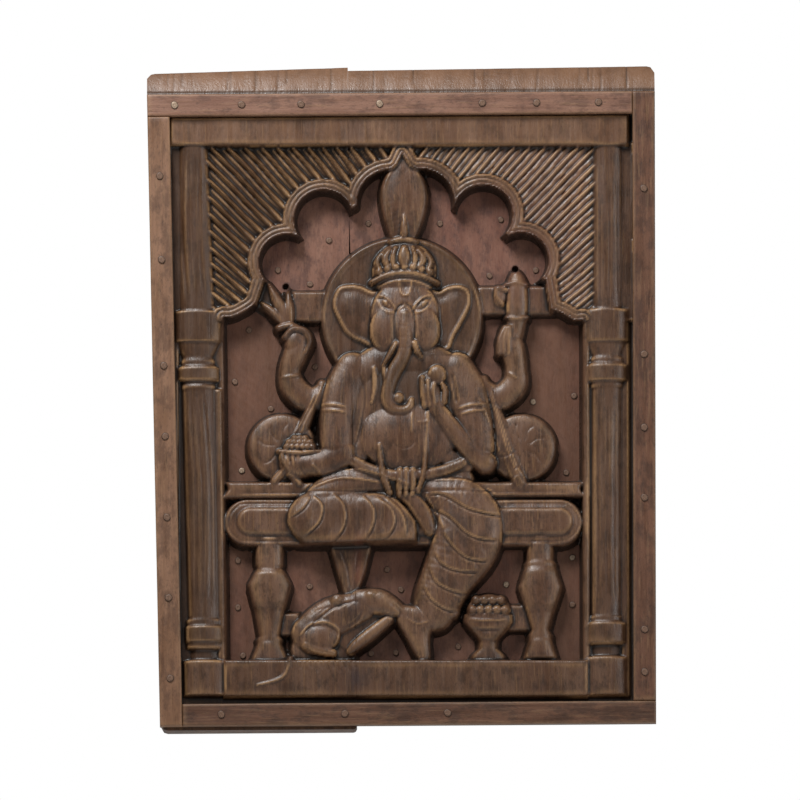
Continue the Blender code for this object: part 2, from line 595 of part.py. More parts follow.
def relief_forms():
    """Every form of the carving."""
    yield floor()
    yield spandrel()
    yield box_slab(LINTEL[0], LINTEL[1], LINTEL[2], LINTEL[3], 26.0, 1.5)
    yield box_slab(BASE[0], BASE[1], BASE[2], BASE[3], 25.0, 1.5)
    yield box_slab(-233, -224, PILLAR_FOOT, PILLAR_HEAD, FILLET_LEVEL)
    yield slab([(-188, 8), (-181, 8), (-177, -264), (-184, -264)], FILLET_LEVEL)
    yield box_slab(180, 186, -264, 80, FILLET_LEVEL)
    yield box_slab(218, 226, PILLAR_FOOT, PILLAR_HEAD, FILLET_LEVEL)
    yield pillar_left()
    yield pillar_right()
    for forms in (strut_forms, seat_forms, head_forms, crown_leaves, torso_forms, arm_forms, folded_leg_forms,
                  hanging_leg_forms, animal_forms, bowl_forms):
        yield from forms()


# Cloth folds: raised lines across the legs, as (from, through, to) and the height of the line

LEG_FOLDS = (
    ((-100, -103), (-93, -124), (-104, -143)), ((-78, -98), (-64, -122), (-74, -150)),
    ((-52, -98), (-38, -122), (-40, -149)), ((-30, -100), (-16, -122), (-18, -149)),
    ((28, -100), (58, -106), (92, -128)), ((30, -112), (56, -128), (98, -136)),
    ((24, -132), (50, -148), (92, -158)), ((20, -152), (42, -166), (80, -172)),
    ((14, -172), (34, -186), (70, -190)), ((10, -190), (28, -202), (60, -205)),
)
FOLD_WIDTH = 3.2
FOLD_HEIGHT = 1.5


def fold_curves():
    for ends in LEG_FOLDS:
        yield curve_through(ends, steps=5)


def beyond_curve(u, v, path):
    """The distance of each point from an open curve."""
    away = np.full(u.shape, 1e3)
    for p, q in zip(path, path[1:]):
        run = q - p
        share = np.clip(((u - p[0]) * run[0] + (v - p[1]) * run[1]) / (run @ run), 0.0, 1.0)
        away = np.minimum(away, np.hypot(u - p[0] - share * run[0], v - p[1] - share * run[1]))
    return away


class Relief:
    """The carved face: for any points of the drawing, how far outside the wood and how high the wood is."""

    def __init__(self):
        self.forms = list(relief_forms())
        self.folds = list(fold_curves())

    def measure(self, u, v):
        gap, height = np.full(u.shape, 1e3), np.zeros(u.shape)
        for low, high, form, _ in self.forms:
            near = (u > low[0]) & (u < high[0]) & (v > low[1]) & (v < high[1])
            form_gap, form_height = form(u[near], v[near])
            gap[near] = np.minimum(gap[near], form_gap)
            height[near] = np.maximum(height[near], form_height)
        for path in self.folds:
            near = (np.abs(u - path[:, 0].mean()) < 60) & (np.abs(v - path[:, 1].mean()) < 60)
            away = beyond_curve(u[near], v[near], path)
            raised = FOLD_HEIGHT * np.clip(1.0 - away / FOLD_WIDTH, 0.0, 1.0)
            height[near] += np.where(height[near] > 19.0, raised, 0.0)
        return gap, height

    def facet_lines(self):
        """The lines of each form that show: crests where it is the highest, feet where a lower form meets it."""
        for _, _, form, lines in self.forms:
            for kind, line in lines:
                _, height = self.measure(line[:, 0], line[:, 1])
                _, own = form(line[:, 0], line[:, 1])
                if kind == CREST:
                    seen = own > height - 2.0
                else:
                    edge = own / (1.0 - FOOT_AWAY / WALL_DRAFT)
                    seen = (height > own + 0.2) & (height < edge + 0.3)
                yield line, seen[:-1] & seen[1:]
        for path in self.folds:
            yield path, np.ones(len(path) - 1, bool)


# The panel's outline and the boards' face


def side_lines(z):
    """The panel's left and right edges at height z: both come in a little towards the bottom."""
    share = (BATTEN_TOP_EDGE - z) / PANEL_HEIGHT
    left = -PANEL_WIDTH / 2.0 - TAPER_LEFT * (0.5 - share) - (TAPER_RIGHT - TAPER_LEFT) / 4.0
    right = PANEL_WIDTH / 2.0 + TAPER_RIGHT * (0.5 - share) - (TAPER_RIGHT - TAPER_LEFT) / 4.0
    return left, right


def joint_line(z):
    share = (BATTEN_TOP_EDGE - z) / PANEL_HEIGHT
    return JOINT_TOP + (JOINT_BOTTOM - JOINT_TOP) * share


def rounded(corners, radii, steps=4):
    """The polygon with its corners rounded to the given radii, counter-clockwise."""
    points = []
    for k, corner in enumerate(corners):
        before, corner, after = Vector(corners[k - 1]), Vector(corner), Vector(corners[(k + 1) % len(corners)])
        if radii[k] == 0.0:
            points.append(tuple(corner))
            continue
        start = corner + (before - corner).normalized() * radii[k]
        end = corner + (after - corner).normalized() * radii[k]
        for t in np.linspace(0.0, 1.0, steps):
            points.append(tuple(start * (1 - t) ** 2 + corner * 2 * t * (1 - t) + end * t**2))
    return np.array(points)


def board_outlines():
    """The outlines of the left and the right board. Their ends don't quite line up where they meet."""
    top_left, top_right = BATTEN_TOP_EDGE + TOP_BAND_LEFT, BATTEN_TOP_EDGE + TOP_BAND_RIGHT
    top_joint = top_left + TOP_BAND_RISE
    low_left, low_right = BATTEN_BOTTOM_EDGE - BOTTOM_LIP_LEFT, BATTEN_BOTTOM_EDGE + BOTTOM_SHORT_RIGHT
    left = [
        (side_lines(low_left)[0], low_left), (joint_line(low_left) - GAP / 2.0, low_left),
        (joint_line(top_joint) - GAP / 2.0, top_joint), (side_lines(top_left)[0], top_left),
    ]
    right = [
        (joint_line(low_right) + GAP / 2.0, low_right), (side_lines(low_right)[1], low_right),
        (side_lines(top_right)[1], top_right),
        (joint_line(top_joint) + GAP / 2.0, top_joint - TOP_BAND_STEP),
    ]
    return (
        rounded(left, (CORNER_RADIUS, CORNER_RADIUS / 2, 0.0, CORNER_RADIUS)),
        rounded(right, (0.0, CORNER_RADIUS / 2, CORNER_RADIUS, 0.0)),
    )


def field_corners():
    """The inner edges of the battens, counter-clockwise from the lower left."""
    low, high = BATTEN_BOTTOM_EDGE + BATTEN_WIDTH, BATTEN_TOP_EDGE - BATTEN_WIDTH
    return [
        (side_lines(low)[0] + BATTEN_WIDTH, low), (side_lines(low)[1] - BATTEN_WIDTH, low),
        (side_lines(high)[1] - BATTEN_WIDTH, high), (side_lines(high)[0] + BATTEN_WIDTH, high),
    ]


def board_face(relief, x, z):
    """The height of the boards' face above their back, in millimetres, and the distance outside the wood."""
    gap, height = relief.measure(*to_drawing(x, z))
    beyond_field = outside_polygon(x, z, np.array(field_corners()))
    beyond = z - BATTEN_TOP_EDGE
    share = np.clip(beyond / TOP_BAND_RIGHT, 0.0, 1.2)
    band = BED_HEIGHT - (BED_HEIGHT - TOP_EDGE_HEIGHT) * (0.72 * share + 0.28 * share**4)
    margin = np.where(beyond > 0.0, np.maximum(band, TOP_EDGE_HEIGHT), BED_HEIGHT)
    height = np.minimum(height, np.where(beyond_field > -UNDERCUT / 4.0, BED_HEIGHT, DRAWN_DEPTH))
    under = beyond_field > UNDERCUT
    return np.where(under, -WALL_DRAFT, gap), np.where(under, margin, height)


# From the carved face to closed, faceted boards


def contour_loops(values, xs, zs, level):
    """The closed lines where the sampled values cross the level, as lists of (x, z) (marching squares)."""
    over = values > level
    links = {}

    def crossing(i, j, k, m):
        """The point on the sample edge from (i, j) to (k, m), named so that neighbours share it."""
        key = (min(i, k), min(j, m), i != k)
        a, b = values[i, j] - level, values[k, m] - level
        share = a / (a - b)
        point = (xs[i] + (xs[k] - xs[i]) * share, zs[j] + (zs[m] - zs[j]) * share)
        return key, point

    points = {}
    mixed = over[:-1, :-1].astype(int) + over[1:, :-1] + over[1:, 1:] + over[:-1, 1:]
    for i, j in zip(*np.nonzero((mixed > 0) & (mixed < 4))):
        ring = ((i, j), (i + 1, j), (i + 1, j + 1), (i, j + 1))
        cuts = []
        for a, b in zip(ring, ring[1:] + ring[:1]):
            if over[a] != over[b]:
                key, point = crossing(*a, *b)
                points[key] = point
                cuts.append(key)
        pairs = [(cuts[0], cuts[1])] if len(cuts) == 2 else [(cuts[0], cuts[3]), (cuts[1], cuts[2])]
        if len(cuts) == 4 and over[ring[0]] == (values[i : i + 2, j : j + 2].mean() > level):
            pairs = [(cuts[0], cuts[1]), (cuts[2], cuts[3])]
        for a, b in pairs:
            links.setdefault(a, []).append(b)
            links.setdefault(b, []).append(a)
    loops = []
    while links:
        start, loop = next(iter(links)), []
        here = start
        while here is not None:
            loop.append(points[here])
            following = links.pop(here)
            here = next((step for step in following if step in links), None)
        loops.append(np.array(loop))
    return loops


def thinned(loop, error):
    """The closed line with only the points that keep it within error (Douglas-Peucker)."""
    far = int(np.argmax(np.hypot(*(loop - loop[0]).T)))

    def keep(part):
        run = part[-1] - part[0]
        length = max(math.hypot(*run), 1e-9)
        away = np.abs((part[:, 0] - part[0, 0]) * run[1] - (part[:, 1] - part[0, 1]) * run[0]) / length
        worst = int(np.argmax(away))
        if away[worst] < error:
            return [part[0]]
        return keep(part[: worst + 1]) + keep(part[worst:])

    closed = np.concatenate([loop, loop[:1]])
    return np.array(keep(closed[: far + 1]) + keep(closed[far:]))


def thinned_line(line, error):
    """The open line with only the points that keep it within error."""
    run = line[-1] - line[0]
    length = max(math.hypot(*run), 1e-9)
    away = np.abs((line[:, 0] - line[0, 0]) * run[1] - (line[:, 1] - line[0, 1]) * run[0]) / length
    worst = int(np.argmax(away))
    if away[worst] < error:
        return line[[0, -1]]
    return np.concatenate([thinned_line(line[: worst + 1], error)[:-1], thinned_line(line[worst:], error)])


def within_loops(x, z, loops):
    """Whether each point lies inside an odd number of the closed loops."""
    inside = np.zeros(x.shape, bool)
    for loop in loops:
        near = (x > loop[:, 0].min()) & (x < loop[:, 0].max()) & (z > loop[:, 1].min()) & (z < loop[:, 1].max())
        odd = np.zeros(int(near.sum()), bool)
        nx, nz = x[near], z[near]
        for p, q in zip(loop, np.roll(loop, -1, axis=0)):
            if p[1] != q[1]:
                crosses = (p[1] > nz) != (q[1] > nz)
                odd ^= crosses & (nx < p[0] + (nz - p[1]) * (q[0] - p[0]) / (q[1] - p[1]))
        inside[near] ^= odd
    return inside


def triangulated(points, edges):
    """Points and triangles of the Delaunay triangulation that holds the given edges."""
    made, _, faces, _, _, _ = delaunay_2d_cdt([Vector(p) for p in points], edges, [], 0, MERGE)
    return np.array([tuple(p) for p in made]), np.array([f for f in faces if len(f) == 3])


def closed_edges(start, count):
    return [(start + k, start + (k + 1) % count) for k in range(count)]


def error_points(points, faces, heights, samples, taken):
    """For each triangle, the sample whose height it misses most, worst first, with the misses."""
    sample_x, sample_z, sample_h, tolerance = samples
    order = np.argsort(sample_x)
    xs_sorted = sample_x[order]
    found = []
    corner = points[faces]
    for k, (a, b, c) in enumerate(corner):
        low, high = np.searchsorted(xs_sorted, (min(a[0], b[0], c[0]), max(a[0], b[0], c[0])))
        if low == high:
            continue
        pick = order[low:high]
        rise = sample_z[pick]
        pick = pick[(rise > min(a[1], b[1], c[1])) & (rise < max(a[1], b[1], c[1]))]
        if not len(pick):
            continue
        area = (b[0] - a[0]) * (c[1] - a[1]) - (c[0] - a[0]) * (b[1] - a[1])
        x, z = sample_x[pick] - a[0], sample_z[pick] - a[1]
        s = (x * (c[1] - a[1]) - z * (c[0] - a[0])) / area
        t = (z * (b[0] - a[0]) - x * (b[1] - a[1])) / area
        inside = (s >= 0) & (t >= 0) & (s + t <= 1)
        if not inside.any():
            continue
        pick, s, t = pick[inside], s[inside], t[inside]
        ha, hb, hc = heights[faces[k]]
        miss = np.abs(ha + s * (hb - ha) + t * (hc - ha) - sample_h[pick]) / tolerance[pick]
        worst = int(np.argmax(miss))
        if miss[worst] > 1.0:
            found.append((miss[worst], pick[worst]))
    found.sort(reverse=True)
    chosen = []
    for _, pick in found:
        spot = np.array((sample_x[pick], sample_z[pick]))
        if not len(taken) or np.hypot(*(taken - spot).T).min() > NEAREST_POINT:
            chosen.append(spot)
            taken = np.concatenate([taken, [spot]])
    return chosen


def kept_faces(points, faces, outline, sawn):
    """The triangles that are wood: inside the board's outline and outside every sawn opening."""
    centre = points[faces].mean(axis=1)
    wood = outside_polygon(centre[:, 0], centre[:, 1], outline) < -SLIVER
    return faces[wood & ~within_loops(centre[:, 0], centre[:, 1], sawn)]


def face_heights(relief, points, sawn):
    """The face's height at each point: a sawn opening's wall ends in a narrow square land at the back."""
    _, height = board_face(relief, points[:, 0], points[:, 1])
    away = np.full(len(points), 1e3)
    for loop in sawn:
        away = np.minimum(away, np.abs(outside_polygon(points[:, 0], points[:, 1], loop)))
    return np.where(away < 1e-3, SAWN_LAND, np.maximum(height, SAWN_LAND))


def carved_surface(relief, outline, sawn, rims, most_points):
    """Points, heights and triangles of a board's face, with points added where the carving needs them."""
    points, edges = list(map(tuple, outline)), closed_edges(0, len(outline))
    low, high = outline.min(0) - 1.0, outline.max(0) + 1.0
    for loop in sawn + rims:
        if (loop.max(0) > low).all() and (loop.min(0) < high).all():
            edges += closed_edges(len(points), len(loop))
            points += list(map(tuple, loop))
    field = np.array(field_corners())
    for shift in (0.0, UNDERCUT - 0.5, UNDERCUT + 0.5):
        middle = field.mean(0)
        ring = field + shift * np.sign(field - middle)
        edges += closed_edges(len(points), 4)
        points += list(map(tuple, ring))
    for z in (BATTEN_TOP_EDGE, BATTEN_TOP_EDGE + 0.55 * TOP_BAND_RIGHT):
        edges.append((len(points), len(points) + 1))
        points += [(low[0] - 9.0, z), (high[0] + 9.0, z)]

    for line, kept in relief.facet_lines():
        x, z = to_panel(line[:, 0], line[:, 1])
        line = np.stack([x, z], axis=1)
        clear = outside_polygon(x, z, field) < -0.8
        clear &= outside_polygon(x, z, outline) < -0.8
        for a in np.nonzero(kept & clear[:-1] & clear[1:])[0]:
            edges.append((len(points), len(points) + 1))
            points += [tuple(line[a]), tuple(line[a + 1])]

    xs = np.arange(low[0] + 3.0, high[0] - 2.0, SAMPLE_STEP)
    zs = np.arange(low[1] + 3.0, high[1] - 2.0, SAMPLE_STEP)
    grid_x, grid_z = (g.ravel() for g in np.meshgrid(xs, zs, indexing="ij"))
    gap, height = board_face(relief, grid_x, grid_z)
    inner = (outside_polygon(grid_x, grid_z, field) < -1.0) & (gap < WALL_DRAFT - 1.2)
    inner &= outside_polygon(grid_x, grid_z, outline) < -1.5
    tolerance = np.where(gap > -0.6, 6.0, FACE_ERROR)
    samples = tuple(a[inner] for a in (grid_x, grid_z, height, tolerance))

    for turn in range(INSERT_ROUNDS + 1):
        made, faces = triangulated(points, edges)
        faces = kept_faces(made, faces, outline, sawn)
        heights = face_heights(relief, made, sawn)
        used = len(np.unique(faces))
        if turn == INSERT_ROUNDS or used >= most_points:
            break
        extra = error_points(made, faces, heights, samples, made)
        extra = extra[: max(40, (most_points - used) // 3)]
        if not extra:
            break
        points += [tuple(spot) for spot in extra[: most_points - used]]
    return made, heights, faces


def outline_area(outline):
    """The area inside an outline, by the sum of its corners' cross products."""
    after = np.roll(outline, -1, axis=0)
    return abs(np.sum(outline[:, 0] * after[:, 1] - outline[:, 1] * after[:, 0])) / 2.0


def boundary_edges(faces):
    """The directed edges that only one triangle has."""
    sides = np.concatenate([faces[:, [0, 1]], faces[:, [1, 2]], faces[:, [2, 0]]])
    known = set(map(tuple, sides))
    return [(a, b) for a, b in known if (b, a) not in known]


def enclosed(faces, edge):
    """The triangles on the inner side of the directed edges, reached without crossing one."""
    walls = set(edge)
    owner = {}
    for k, (a, b, c) in enumerate(faces.tolist()):
        owner.update({(a, b): k, (b, c): k, (c, a): k})
    waiting = [owner[pair] for pair in edge]
    inside = set(waiting)
    while waiting:
        a, b, c = faces[waiting.pop()].tolist()
        for pair in ((a, b), (b, c), (c, a)):
            across = owner.get(pair[::-1])
            if pair not in walls and across is not None and across not in inside:
                inside.add(across)
                waiting.append(across)
    return faces[sorted(inside)]


def board_solid(relief, outline, sawn, rims, most_points):
    """The closed board: its carved face, its flat back, and the sawn sides between them."""
    points, heights, faces = carved_surface(relief, outline, sawn, rims, most_points)
    edge = boundary_edges(faces)
    corners = sorted({k for pair in edge for k in pair})
    number = {k: n for n, k in enumerate(corners)}
    ring = [(number[a], number[b]) for a, b in edge]
    back_faces = enclosed(triangulated(points[corners], ring)[1], ring)

    used = sorted(set(faces.ravel()))
    front = {k: n for n, k in enumerate(used)}
    verts = [(points[k, 0], -(BOARD_BACK + heights[k] * DEPTH_SCALE), points[k, 1]) for k in used]
    back = {k: len(verts) + n for n, k in enumerate(corners)}
    verts += [(points[k, 0], -BOARD_BACK, points[k, 1]) for k in corners]
    solid = [tuple(front[k] for k in face) for face in faces]
    solid += [tuple(back[corners[k]] for k in face[::-1]) for face in back_faces]
    solid += [(front[b], front[a], back[a], back[b]) for a, b in edge]
    return verts, solid


# Blender objects


def material(name, colour, roughness):
    made = bpy.data.materials.new(name)
    made.use_nodes = True
    shader = made.node_tree.nodes["Principled BSDF"]
    shader.inputs["Base Color"].default_value = (*colour, 1.0)
    shader.inputs["Roughness"].default_value = roughness
    made.diffuse_color = (*colour, 1.0)
    return made


def new_object(name, verts, faces, finish):
    """A mesh object from points in millimetres."""
    mesh = bpy.data.meshes.new(name)
    mesh.from_pydata([tuple(c * MM for c in p) for p in verts], [], faces)
    mesh.update()
    mesh.materials.append(finish)
    made = bpy.data.objects.new(name, mesh)
    bpy.context.scene.collection.objects.link(made)
    return made


def plate(name, outline, holes, low, high, finish):
    """A flat plate with its faces at low and high in front of the wall, and holes right through."""
    loops = [np.asarray(outline, float)] + [np.asarray(hole, float) for hole in holes]
    points, edges = [], []
    for loop in loops:
        edges += closed_edges(len(points), len(loop))
        points += list(map(tuple, loop))
    made, faces = triangulated(points, edges)
    faces = kept_faces(made, faces, loops[0], loops[1:])
    count = len(made)
    verts = [(x, -high, z) for x, z in made] + [(x, -low, z) for x, z in made]
    solid = [tuple(face) for face in faces] + [tuple(face[::-1] + count) for face in faces]
    solid += [(b, a, a + count, b + count) for a, b in boundary_edges(faces)]
    return new_object(name, verts, solid, finish)


def bevelled(obj, width):
    """Small worn arrises all round."""
    worn = obj.modifiers.new("worn arrises", "BEVEL")
    worn.width = width * MM
    worn.segments = 1
    worn.limit_method = "ANGLE"
    return obj


def batten_outlines():
    """The four battens in order round the panel: each runs past the end of the next."""
    (ll, lz), (rl, _), (rh, hz), (lh, _) = field_corners()
    low, high = BATTEN_BOTTOM_EDGE, BATTEN_TOP_EDGE
    half = GAP / 2.0

    def left(z, inset=0.0):
        return side_lines(z)[0] + inset, z

    def right(z, inset=0.0):
        return side_lines(z)[1] - inset, z

    wide = BATTEN_WIDTH
    return {
        "batten_top": [left(hz + half), right(hz + half, wide + half), right(high, wide + half), left(high)],
        "batten_right": [right(lz + half, wide - half), right(lz + half), right(high), right(high, wide - half)],
        "batten_bottom": [left(low, wide + half), right(low), right(lz - half), left(lz - half, wide + half)],
        "batten_left": [left(low), left(low, wide - half), left(hz - half, wide - half), left(hz - half)],
    }


# Nail places: along a batten as a share of its length, on the backing as places in the drawing

BATTEN_NAILS = {
    "top": (0.054, 0.186, 0.303, 0.458, 0.66, 0.767, 0.889),
    "right": (0.155, 0.418, 0.534, 0.645, 0.853, 0.92),
    "bottom": (0.124, 0.373, 0.58),
    "left": (0.13, 0.263, 0.431, 0.543, 0.671, 0.798, 0.925),
}
BACKING_NAILS = (
    (-125, 127), (-34.5, 174), (-74, 157), (-93, 113), (37, 174), (98, 178), (133, 127), (86.5, 121.5),
    (-154, 67), (-168, 15), (-88, 30), (-132, -12), (-161, -74), (171, 1), (163, -76), (130, -5),
    (-93, -190), (-16, -173), (-164.5, -211), (-159.5, -259), (-164.5, -164), (-2, -193), (-7, -256), (55, -250),
    (-32, -257), (103, -188), (169, -161), (169, -208),
)
DRILLED = ((-116.5, 111.0), (112.0, 128.5))


def batten_nail_places():
    """The middle of each nail head on the battens, as (x, z)."""
    inset = BATTEN_WIDTH / 2.0
    low, high = BATTEN_BOTTOM_EDGE, BATTEN_TOP_EDGE
    for side, shares in BATTEN_NAILS.items():
        for share in shares:
            if side in ("top", "bottom"):
                z = high - inset if side == "top" else low + inset
                left, right = side_lines(z)
                yield left + (right - left) * share, z
            else:
                z = high + (low - high) * share
                left, right = side_lines(z)
                yield (left + inset if side == "left" else right - inset), z


def nail_head(name, x, z, ground, radius, finish):
    """A low domed nail head that sits on the wood at height ground."""
    mesh = bmesh.new()
    rows = ((0.0, 1.0), (1.0, 0.7))
    loops = []
    for rise, share in rows:
        ring = []
        for k in range(NAIL_SIDES):
            angle = 2.0 * math.pi * k / NAIL_SIDES
            place = (
                (x + radius * share * math.cos(angle)) * MM,
                -(ground + GAP + NAIL_HEIGHT * rise) * MM,
                (z + radius * share * math.sin(angle)) * MM,
            )
            ring.append(mesh.verts.new(place))
        loops.append(ring)
    for inner, outer in zip(loops[1:], loops):
        for k in range(NAIL_SIDES):
            after = (k + 1) % NAIL_SIDES
            mesh.faces.new((outer[k], outer[after], inner[after], inner[k]))
    mesh.faces.new(loops[-1])
    mesh.faces.new(loops[0][::-1])
    made = bpy.data.meshes.new(name)
    mesh.to_mesh(made)
    mesh.free()
    made.materials.append(finish)
    obj = bpy.data.objects.new(name, made)
    bpy.context.scene.collection.objects.link(obj)
    return obj


def make_boards(carved):
    """The two carved boards."""
    relief = Relief()
    edge = SAMPLE_STEP
    xs = np.arange(-PANEL_WIDTH / 2.0 - 12.0, PANEL_WIDTH / 2.0 + 12.0, edge)
    zs = np.arange(-OVERALL_HEIGHT / 2.0 - 8.0, OVERALL_HEIGHT / 2.0 + 8.0, edge)
    gap, _ = board_face(relief, *np.meshgrid(xs, zs, indexing="ij"))
    sawn = [thinned(loop, OUTLINE_ERROR) for loop in contour_loops(gap, xs, zs, WALL_DRAFT)]
    rims = [thinned(loop, OUTLINE_ERROR) for loop in contour_loops(gap, xs, zs, 0.0)]
    sawn = [loop for loop in sawn if len(loop) > 3]
    rims = [loop for loop in rims if len(loop) > 3]
    left, right = board_outlines()
    for name, outline in (("board_left", left), ("board_right", right)):
        most = int(outline_area(outline) / FACE_SPACING**2)
        new_object(name, *board_solid(relief, outline, sawn, rims, most), carved)


def make_backing(finish):
    """The plain board behind, set in a little from the edges, with its two drilled holes."""
    low, high = BATTEN_BOTTOM_EDGE + BACKING_MARGIN, BATTEN_TOP_EDGE - BACKING_MARGIN / 2.0
    outline = [
        (side_lines(low)[0] + BACKING_MARGIN, low), (side_lines(low)[1] - BACKING_MARGIN, low),
        (side_lines(high)[1] - BACKING_MARGIN, high), (side_lines(high)[0] + BACKING_MARGIN, high),
    ]
    holes = []
    for u, v in DRILLED:
        x, z = to_panel(u, v)
        z += BACKING_DROP
        turns = np.linspace(0.0, 2.0 * math.pi, 12, endpoint=False)
        holes.append(np.stack([x + DRILL_RADIUS * np.cos(turns), z + DRILL_RADIUS * np.sin(turns)], axis=1))
    plate("backing_board", outline, holes, 0.0, BACKING_THICKNESS, finish)


def make_battens(finish):
    low = BOARD_BACK + BED_HEIGHT * DEPTH_SCALE + GAP
    for name, outline in batten_outlines().items():
        bevelled(plate(name, outline, [], low, low + BATTEN_THICKNESS, finish), BATTEN_BEVEL)
    return low + BATTEN_THICKNESS


def make_nails(batten_face, finish):
    for number, (x, z) in enumerate(batten_nail_places(), 1):
        nail_head(f"batten_nail_{number:02d}", x, z, batten_face, BATTEN_NAIL_RADIUS, finish)
    for number, (u, v) in enumerate(BACKING_NAILS, 1):
        x, z = to_panel(u, v)
        nail_head(f"backing_nail_{number:02d}", x, z + BACKING_DROP, BACKING_THICKNESS, BACKING_NAIL_RADIUS, finish)


def main():
    for obj in list(bpy.data.objects):
        bpy.data.objects.remove(obj)
    carved = material("carved wood", (0.075, 0.045, 0.028), 0.6)
    backing = material("backing wood", (0.10, 0.045, 0.028), 0.65)
    strip = material("batten wood", (0.10, 0.055, 0.032), 0.6)
    iron = material("nail iron", (0.11, 0.085, 0.07), 0.55)
    make_boards(carved)
    make_backing(backing)
    make_nails(make_battens(strip), iron)


main()
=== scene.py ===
"""The looks of a carved and pierced wooden wall panel: two thick boards carved in relief, a backing board,
four nailed battens and their nail heads.

The relief is a height over the panel's front. Each form of it says how far a point lies outside the form and
how high the form stands there. The highest form wins, and fine strokes are then raised or cut. The height is
sampled on a fine grid, softened as a worn arris is, and put into one closed mesh for each board.
"""

from __future__ import annotations

import logging
import math
from dataclasses import dataclass, field
from enum import Enum
from typing import Any, Callable, Iterator, Sequence

import bmesh
import bpy
import numpy as np
from mathutils import Matrix, Vector
from mathutils.geometry import delaunay_2d_cdt


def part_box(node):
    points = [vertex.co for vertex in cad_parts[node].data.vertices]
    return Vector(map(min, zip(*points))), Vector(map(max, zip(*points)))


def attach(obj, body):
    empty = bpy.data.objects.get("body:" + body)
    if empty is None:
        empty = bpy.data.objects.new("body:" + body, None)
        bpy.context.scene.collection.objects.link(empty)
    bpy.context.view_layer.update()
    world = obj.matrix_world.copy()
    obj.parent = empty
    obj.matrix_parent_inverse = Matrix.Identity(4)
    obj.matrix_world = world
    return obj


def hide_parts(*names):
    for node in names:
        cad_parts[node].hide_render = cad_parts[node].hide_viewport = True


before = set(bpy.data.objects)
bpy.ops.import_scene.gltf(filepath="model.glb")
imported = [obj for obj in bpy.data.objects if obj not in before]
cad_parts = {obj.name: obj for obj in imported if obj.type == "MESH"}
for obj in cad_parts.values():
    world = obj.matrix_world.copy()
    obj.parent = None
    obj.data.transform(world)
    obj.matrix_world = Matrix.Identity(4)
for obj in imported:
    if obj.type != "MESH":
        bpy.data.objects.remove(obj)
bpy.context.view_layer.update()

MM = 0.001
ROOT = "root"
LOG = logging.getLogger("carved_panel")

Array = np.ndarray
Measure = Callable[[Array, Array], tuple[Array, Array]]


class Slot(Enum):
    """The material slots of the record."""

    CARVED = "carved_wood"
    BACKING = "backing_wood"
    BATTEN = "batten_wood"
    NAIL = "nail_iron"


class Side(Enum):
    """The two boards that meet left of the middle."""

    LEFT = "left"
    RIGHT = "right"


# Sizes that the whole panel shares, in millimetres


